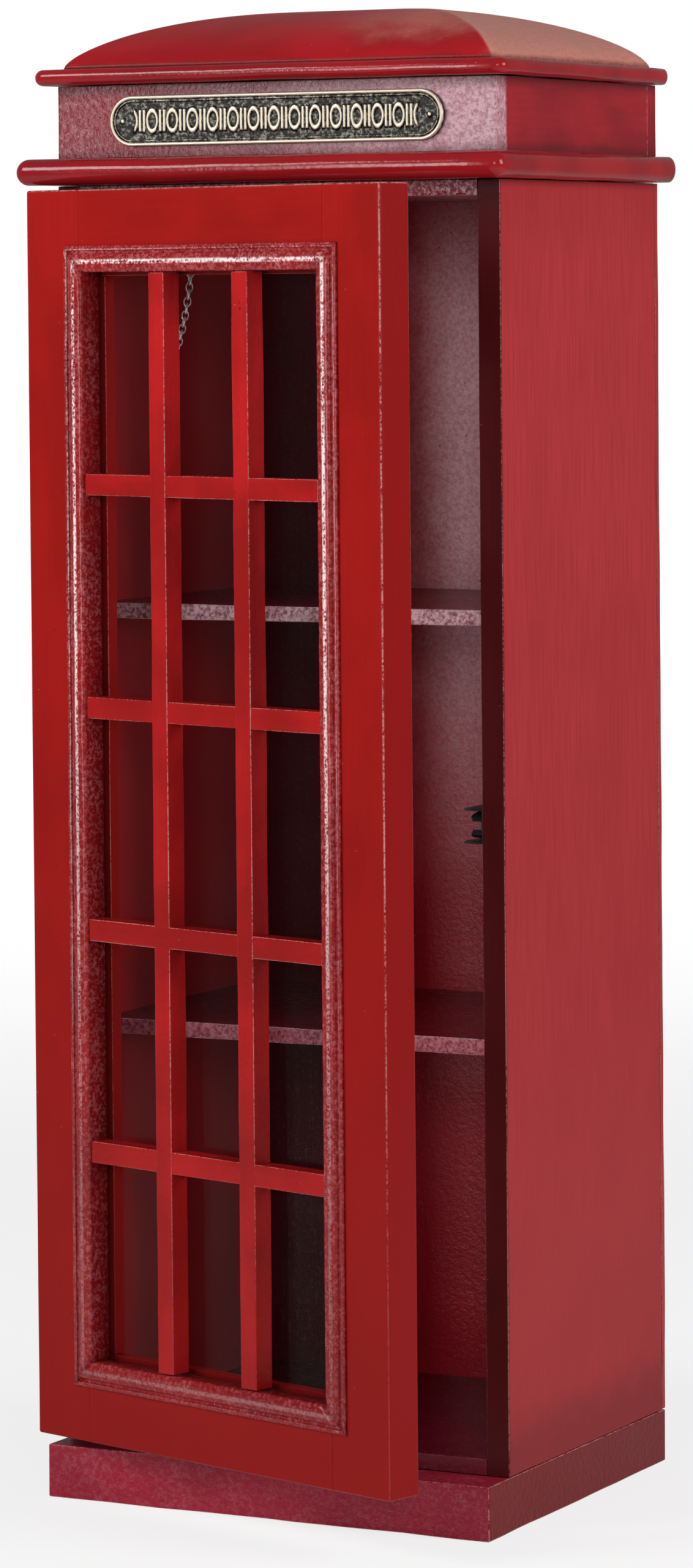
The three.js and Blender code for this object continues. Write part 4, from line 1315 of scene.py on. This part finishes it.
    def _glazing(self) -> None:
        """The bars: the uprights stand a little proud of the cross bars."""
        turn, slot, ease, uneven = self.space.turn, "door_red_paint", self.bar_ease, 0.2 * MM
        standing = self.bars.material("upright_bar_paint", Grain.UPRIGHT, turn)
        lying = self.bars.material("cross_bar_paint", Grain.ACROSS, turn)
        for number in (1, 2):
            node = f"upright_glazing_bar_{number}"
            self.space.refine(node, standing, slot, 64 + number, ease, uneven=uneven)
        for number in range(1, 5):
            node = f"cross_glazing_bar_{number}"
            low, high = self.space.box(node)
            low[1] += self.setback
            self.space.refine(node, lying, slot, 70 + number, ease, None, uneven, (low, high))

    def build(self) -> None:
        """Makes and dresses the door."""
        turn = self.space.turn
        upright = self.paint.material("door_upright_paint", Grain.UPRIGHT, turn)
        level = self.paint.material("door_level_paint", Grain.ACROSS, turn)
        self._frame(upright, level)
        beads = {
            "left_bead": (True, True), "right_bead": (True, False),
            "bottom_bead": (False, True), "top_bead": (False, False),
        }
        standing = self.moulding.material("standing_bead_paint", Grain.UPRIGHT, turn)
        lying = self.moulding.material("lying_bead_paint", Grain.ACROSS, turn)
        for seed, (node, (stands, near)) in enumerate(beads.items(), 60):
            self._bead(node, stands, near, standing if stands else lying, seed)
        self._glazing()
        stops = {"left": upright, "right": upright, "bottom": level, "top": level}
        for seed, (side, paint) in enumerate(stops.items(), 80):
            self.space.refine(f"{side}_glass_stop", paint, "door_red_paint", seed, self.stop_ease)
        dress(["glass_pane"], Glass().material("window_glass"))


# ---------------------------------------------------------------- ironwork
@dataclass
class StayChain:
    """Two halves of a fine twisted chain, hung from the end links and meeting at the bottom."""

    pitch: float = 4.6 * MM
    wire: float = 0.62 * MM
    reach: float = 3.1 * MM
    half_width: float = 2.1 * MM
    ring_points: int = 18
    wire_points: int = 8
    bands: int = 13  # slices of the solid that give its centreline
    tip: int = 8  # the solid's points at each of its ends

    def _centreline(self, node: str) -> tuple[Array, Array]:
        """The line down the middle of a half, from the means of its slices.

        Args:
            node: the half's name.

        Returns:
            The line's points, and how far along it each one lies.
        """
        mesh = bpy.data.objects[node].data
        flat = np.empty(len(mesh.vertices) * 3, np.float32)
        mesh.vertices.foreach_get("co", flat)
        cloud = flat.reshape(-1, 3).astype(float)
        cloud = cloud[np.argsort(-cloud[:, 2])]
        line = np.array([band.mean(0) for band in np.array_split(cloud, self.bands)])
        line[0], line[-1] = cloud[: self.tip].mean(0), cloud[-self.tip :].mean(0)
        return line, np.append(0, np.cumsum(np.linalg.norm(np.diff(line, axis=0), axis=1)))

    def _links(self, node: str, seed: int) -> Surface:
        """Oval rings set along the hanging curve, each rolled a quarter turn from the last.

        A ring is centre + (reach cos t) * along + (half_width sin t) * across, with a round wire
        about it.

        Args:
            node: the solid whose centreline the links follow.
            seed: picks their slack.

        Returns:
            Points, faces and zeros.
        """
        line, steps = self._centreline(node)
        count = int(steps[-1] / self.pitch)
        where = (np.arange(count) + 0.5) * steps[-1] / count
        centre, ahead, behind = (
            np.stack([np.interp(where + shift, steps, line[:, k]) for k in range(3)], 1)
            for shift in (0.0, 2 * MM, -2 * MM)
        )
        along = ahead - behind
        along /= np.linalg.norm(along, axis=1, keepdims=True)
        side = np.cross(along, [0.0, 1.0, 0.3])
        side /= np.linalg.norm(side, axis=1, keepdims=True)
        up = np.cross(side, along)
        draw = np.random.default_rng(seed)
        roll = np.where(np.arange(count) % 2, 0.25, 0.75) * np.pi + draw.uniform(-0.15, 0.15, count)
        across = side * np.cos(roll)[:, None] + up * np.sin(roll)[:, None]
        third = np.cross(along, across)

        rings, wires = self.ring_points, self.wire_points
        t = np.linspace(0, 2 * np.pi, rings, endpoint=False)[:, None]
        w = np.linspace(0, 2 * np.pi, wires, endpoint=False)[None, :]
        thick = self.wire * np.cos(w)
        offsets = np.stack(
            [
                np.cos(t) * (self.reach + thick),
                np.sin(t) * (self.half_width + thick * 0.7),
                np.broadcast_to(self.wire * np.sin(w), (rings, wires)),
            ],
            -1,
        )
        axes = np.stack([along, across, third], 1)
        points = centre[:, None, None] + np.einsum("twk,nkd->ntwd", offsets, axes)
        i, j = np.meshgrid(np.arange(rings), np.arange(wires), indexing="ij")
        next_i, next_j = (i + 1) % rings, (j + 1) % wires
        quad = np.stack(
            [next_i * wires + j, next_i * wires + next_j, i * wires + next_j, i * wires + j], -1
        ).reshape(-1, 4)
        quads = (quad[None] + (np.arange(count) * rings * wires)[:, None, None]).reshape(-1, 4)
        return points.reshape(-1, 3), [tuple(q) for q in quads.tolist()], np.zeros(points.size // 3)

    def build(self, steel: bpy.types.Material) -> None:
        """Makes and dresses the chain's two halves, each of which is a body of its own.

        Args:
            steel: their finish.
        """
        for seed, half in enumerate(("top_chain_half", "door_chain_half"), 90):
            links = self._links(half, seed)
            Space(half).piece(half + "_links", links, steel, "plated_steel", [half])


@dataclass
class Fittings:
    """The hinges and their screws, the chain's eyes and end links, and the catch."""

    solids: Sequence[str]
    blackened: Metal = Metal(
        colour=(0.030, 0.029, 0.030), dull=(0.012, 0.012, 0.012), metallic=0.5, gloss=0.3
    )

    def build(self, steel: bpy.types.Material) -> None:
        """Dresses the solids, which are fine enough to be shown as they are.

        Args:
            steel: the finish of all but the catch.
        """
        dress(["top_chain_eye", "top_chain_link", "door_chain_eye", "door_chain_link"], steel)
        dress([n for n in self.solids if "_hinge_" in n and "stile" not in n], steel)
        dress([n for n in self.solids if "_screw_" in n], steel)
        black = self.blackened.material("black_steel")
        dress([n for n in self.solids if n.startswith("catch_")], black)


# ---------------------------------------------------------------- studio
@dataclass(frozen=True)
class Softbox:
    """A soft rectangular white light, facing the point that it is aimed at."""

    name: str
    place: tuple[float, float, float]
    size: tuple[float, float]  # width and height, in metres
    power: float  # in watts
    aim: tuple[float, float, float] = (0.0, 0.0, 0.45)

    def hang(self) -> None:
        """Sets the light up."""
        lamp = bpy.data.lights.new(self.name, "AREA")
        lamp.shape, lamp.size, lamp.size_y = "RECTANGLE", *self.size
        lamp.energy = self.power
        made = bpy.data.objects.new(self.name, lamp)
        bpy.context.scene.collection.objects.link(made)
        away = np.array(self.place) - np.array(self.aim)
        away /= np.linalg.norm(away)
        right = np.cross([0.0, 0.0, 1.0], away)
        right /= np.linalg.norm(right)
        up = np.cross(away, right)
        axes = Matrix(np.column_stack([right, up, away]).tolist()).to_4x4()
        made.matrix_world = Matrix.Translation(self.place) @ axes


@dataclass
class Studio:
    """A pale floor that fades out, soft lights and the camera."""

    floor_radius: float = 3.2
    floor_points: int = 96
    floor_tone: Colour = (0.86, 0.86, 0.86)
    floor_glow: float = 0.75  # how much of the floor looks plain white
    lit_from_around: float = 0.22
    eye: tuple[float, float, float] = (1.579651, -3.082423, 0.739069)
    yaw: float = 0.474697
    pitch: float = -0.032696
    roll: float = -0.008543
    lens: float = 129.0035
    shift: float = -0.2
    sensor: float = 36.0
    lights: tuple[Softbox, ...] = (
        Softbox("strip_softbox", (-1.36, -3.2, 0.80), (0.34, 1.5), 26.0),
        Softbox("high_left_softbox", (-1.5, -1.8, 1.85), (0.9, 0.8), 32.0),
        Softbox("right_softbox", (2.6, -0.1, 1.5), (1.2, 1.4), 46.0, (0.0, 0.0, 0.6)),
        Softbox("front_right_softbox", (1.75, -3.0, 1.25), (0.9, 0.8), 22.0),
    )

    def _floor(self) -> None:
        """A disc under the object whose edge fades into the backdrop's white."""
        bench = Bench(bpy.data.materials.new("floor_white"))
        split = bench.node("ShaderNodeSeparateXYZ", {}, {0: bench.place()})
        x, y = (Number(bench, split.outputs[k]) for k in (0, 1))
        far = ((x * x + y * y) ** 0.5).rise(self.floor_radius * 0.3, self.floor_radius * 0.95)
        matt = bench.node(
            "ShaderNodeBsdfPrincipled",
            {},
            {"Base Color": (*self.floor_tone, 1.0), "Roughness": 0.9},
        )
        seen = Number(bench, bench.node("ShaderNodeLightPath").outputs["Is Camera Ray"])
        glow = bench.node("ShaderNodeEmission", {}, {"Color": WHITE, "Strength": 1.0})
        share = seen * self.floor_glow
        lit = bench.node(
            "ShaderNodeMixShader", {}, {0: share, 1: matt.outputs[0], 2: glow.outputs[0]}
        )
        clear = bench.node("ShaderNodeBsdfTransparent")
        both = bench.node(
            "ShaderNodeMixShader", {}, {0: far, 1: lit.outputs[0], 2: clear.outputs[0]}
        )
        bench.node("ShaderNodeOutputMaterial", {}, {0: both.outputs[0]})
        ring = np.linspace(0, 2 * np.pi, self.floor_points, endpoint=False)
        points = np.stack([np.cos(ring), np.sin(ring), ring * 0], 1) * self.floor_radius
        mesh = bpy.data.meshes.new("floor")
        mesh.from_pydata(points.tolist(), [], [tuple(range(self.floor_points))])
        mesh.materials.append(bench.owner)
        floor = bpy.data.objects.new("floor", mesh)
        bpy.context.scene.collection.objects.link(floor)

    def _backdrop(self) -> None:
        """White where it is looked at, and a soft grey where it lights the object."""
        world = bpy.data.worlds.new("backdrop")
        bpy.context.scene.world = world
        bench = Bench(world)
        seen = bench.node("ShaderNodeLightPath").outputs["Is Camera Ray"]
        strength = bench.node(
            "ShaderNodeMapRange", {}, {"Value": seen, "To Min": self.lit_from_around, "To Max": 1.0}
        )
        shine = bench.node(
            "ShaderNodeBackground", {}, {"Color": WHITE, "Strength": strength.outputs[0]}
        )
        bench.node("ShaderNodeOutputWorld", {}, {0: shine.outputs[0]})

    def _camera(self) -> None:
        """A long lens at eye level with the cabinet, to the right of its front."""
        c, s = math.cos(self.yaw), math.sin(self.yaw)
        cp, sp = math.cos(self.pitch), math.sin(self.pitch)
        forward = np.array([-s * cp, c * cp, sp])
        right = np.array([c, s, 0.0])
        up = np.cross(right, forward)
        cr, sr = math.cos(self.roll), math.sin(self.roll)
        rolled, upright = cr * right + sr * up, -sr * right + cr * up
        camera = bpy.data.cameras.new("camera")
        camera.lens, camera.sensor_width = self.lens, self.sensor
        camera.shift_y = self.shift
        made = bpy.data.objects.new("camera", camera)
        bpy.context.scene.collection.objects.link(made)
        axes = Matrix(np.column_stack([rolled, upright, -forward]).tolist()).to_4x4()
        made.matrix_world = Matrix.Translation(self.eye) @ axes
        bpy.context.scene.camera = made

    def build(self) -> None:
        """Sets up the floor, lights, backdrop and camera."""
        self._floor()
        self._backdrop()
        self._camera()
        for light in self.lights:
            light.hang()
        bpy.context.scene.view_settings.view_transform = "Standard"


def main() -> None:
    """Loads the frame and builds every sub-assembly and the studio."""
    logging.basicConfig(level=logging.INFO, format="%(name)s %(message)s")
    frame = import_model()
    hinge = next(joint for joint in frame["joints"] if joint["name"] == "door_hinge")
    opened = math.radians(-hinge["range_deg"][0])
    cabinet = Space("cabinet")
    door = Space("door", tuple(hinge["pos_m"][:2]), -opened)
    steel = Metal().material("plated_steel")
    Carcass(cabinet).build()
    Header(cabinet).build()
    Plaque(cabinet).build()
    Door(door).build()
    StayChain().build(steel)
    Fittings(sorted(row["node"] for row in frame["record"]["subparts"])).build(steel)
    Studio().build()
    bpy.context.view_layer.update()


if __name__ == "__main__":
    main()
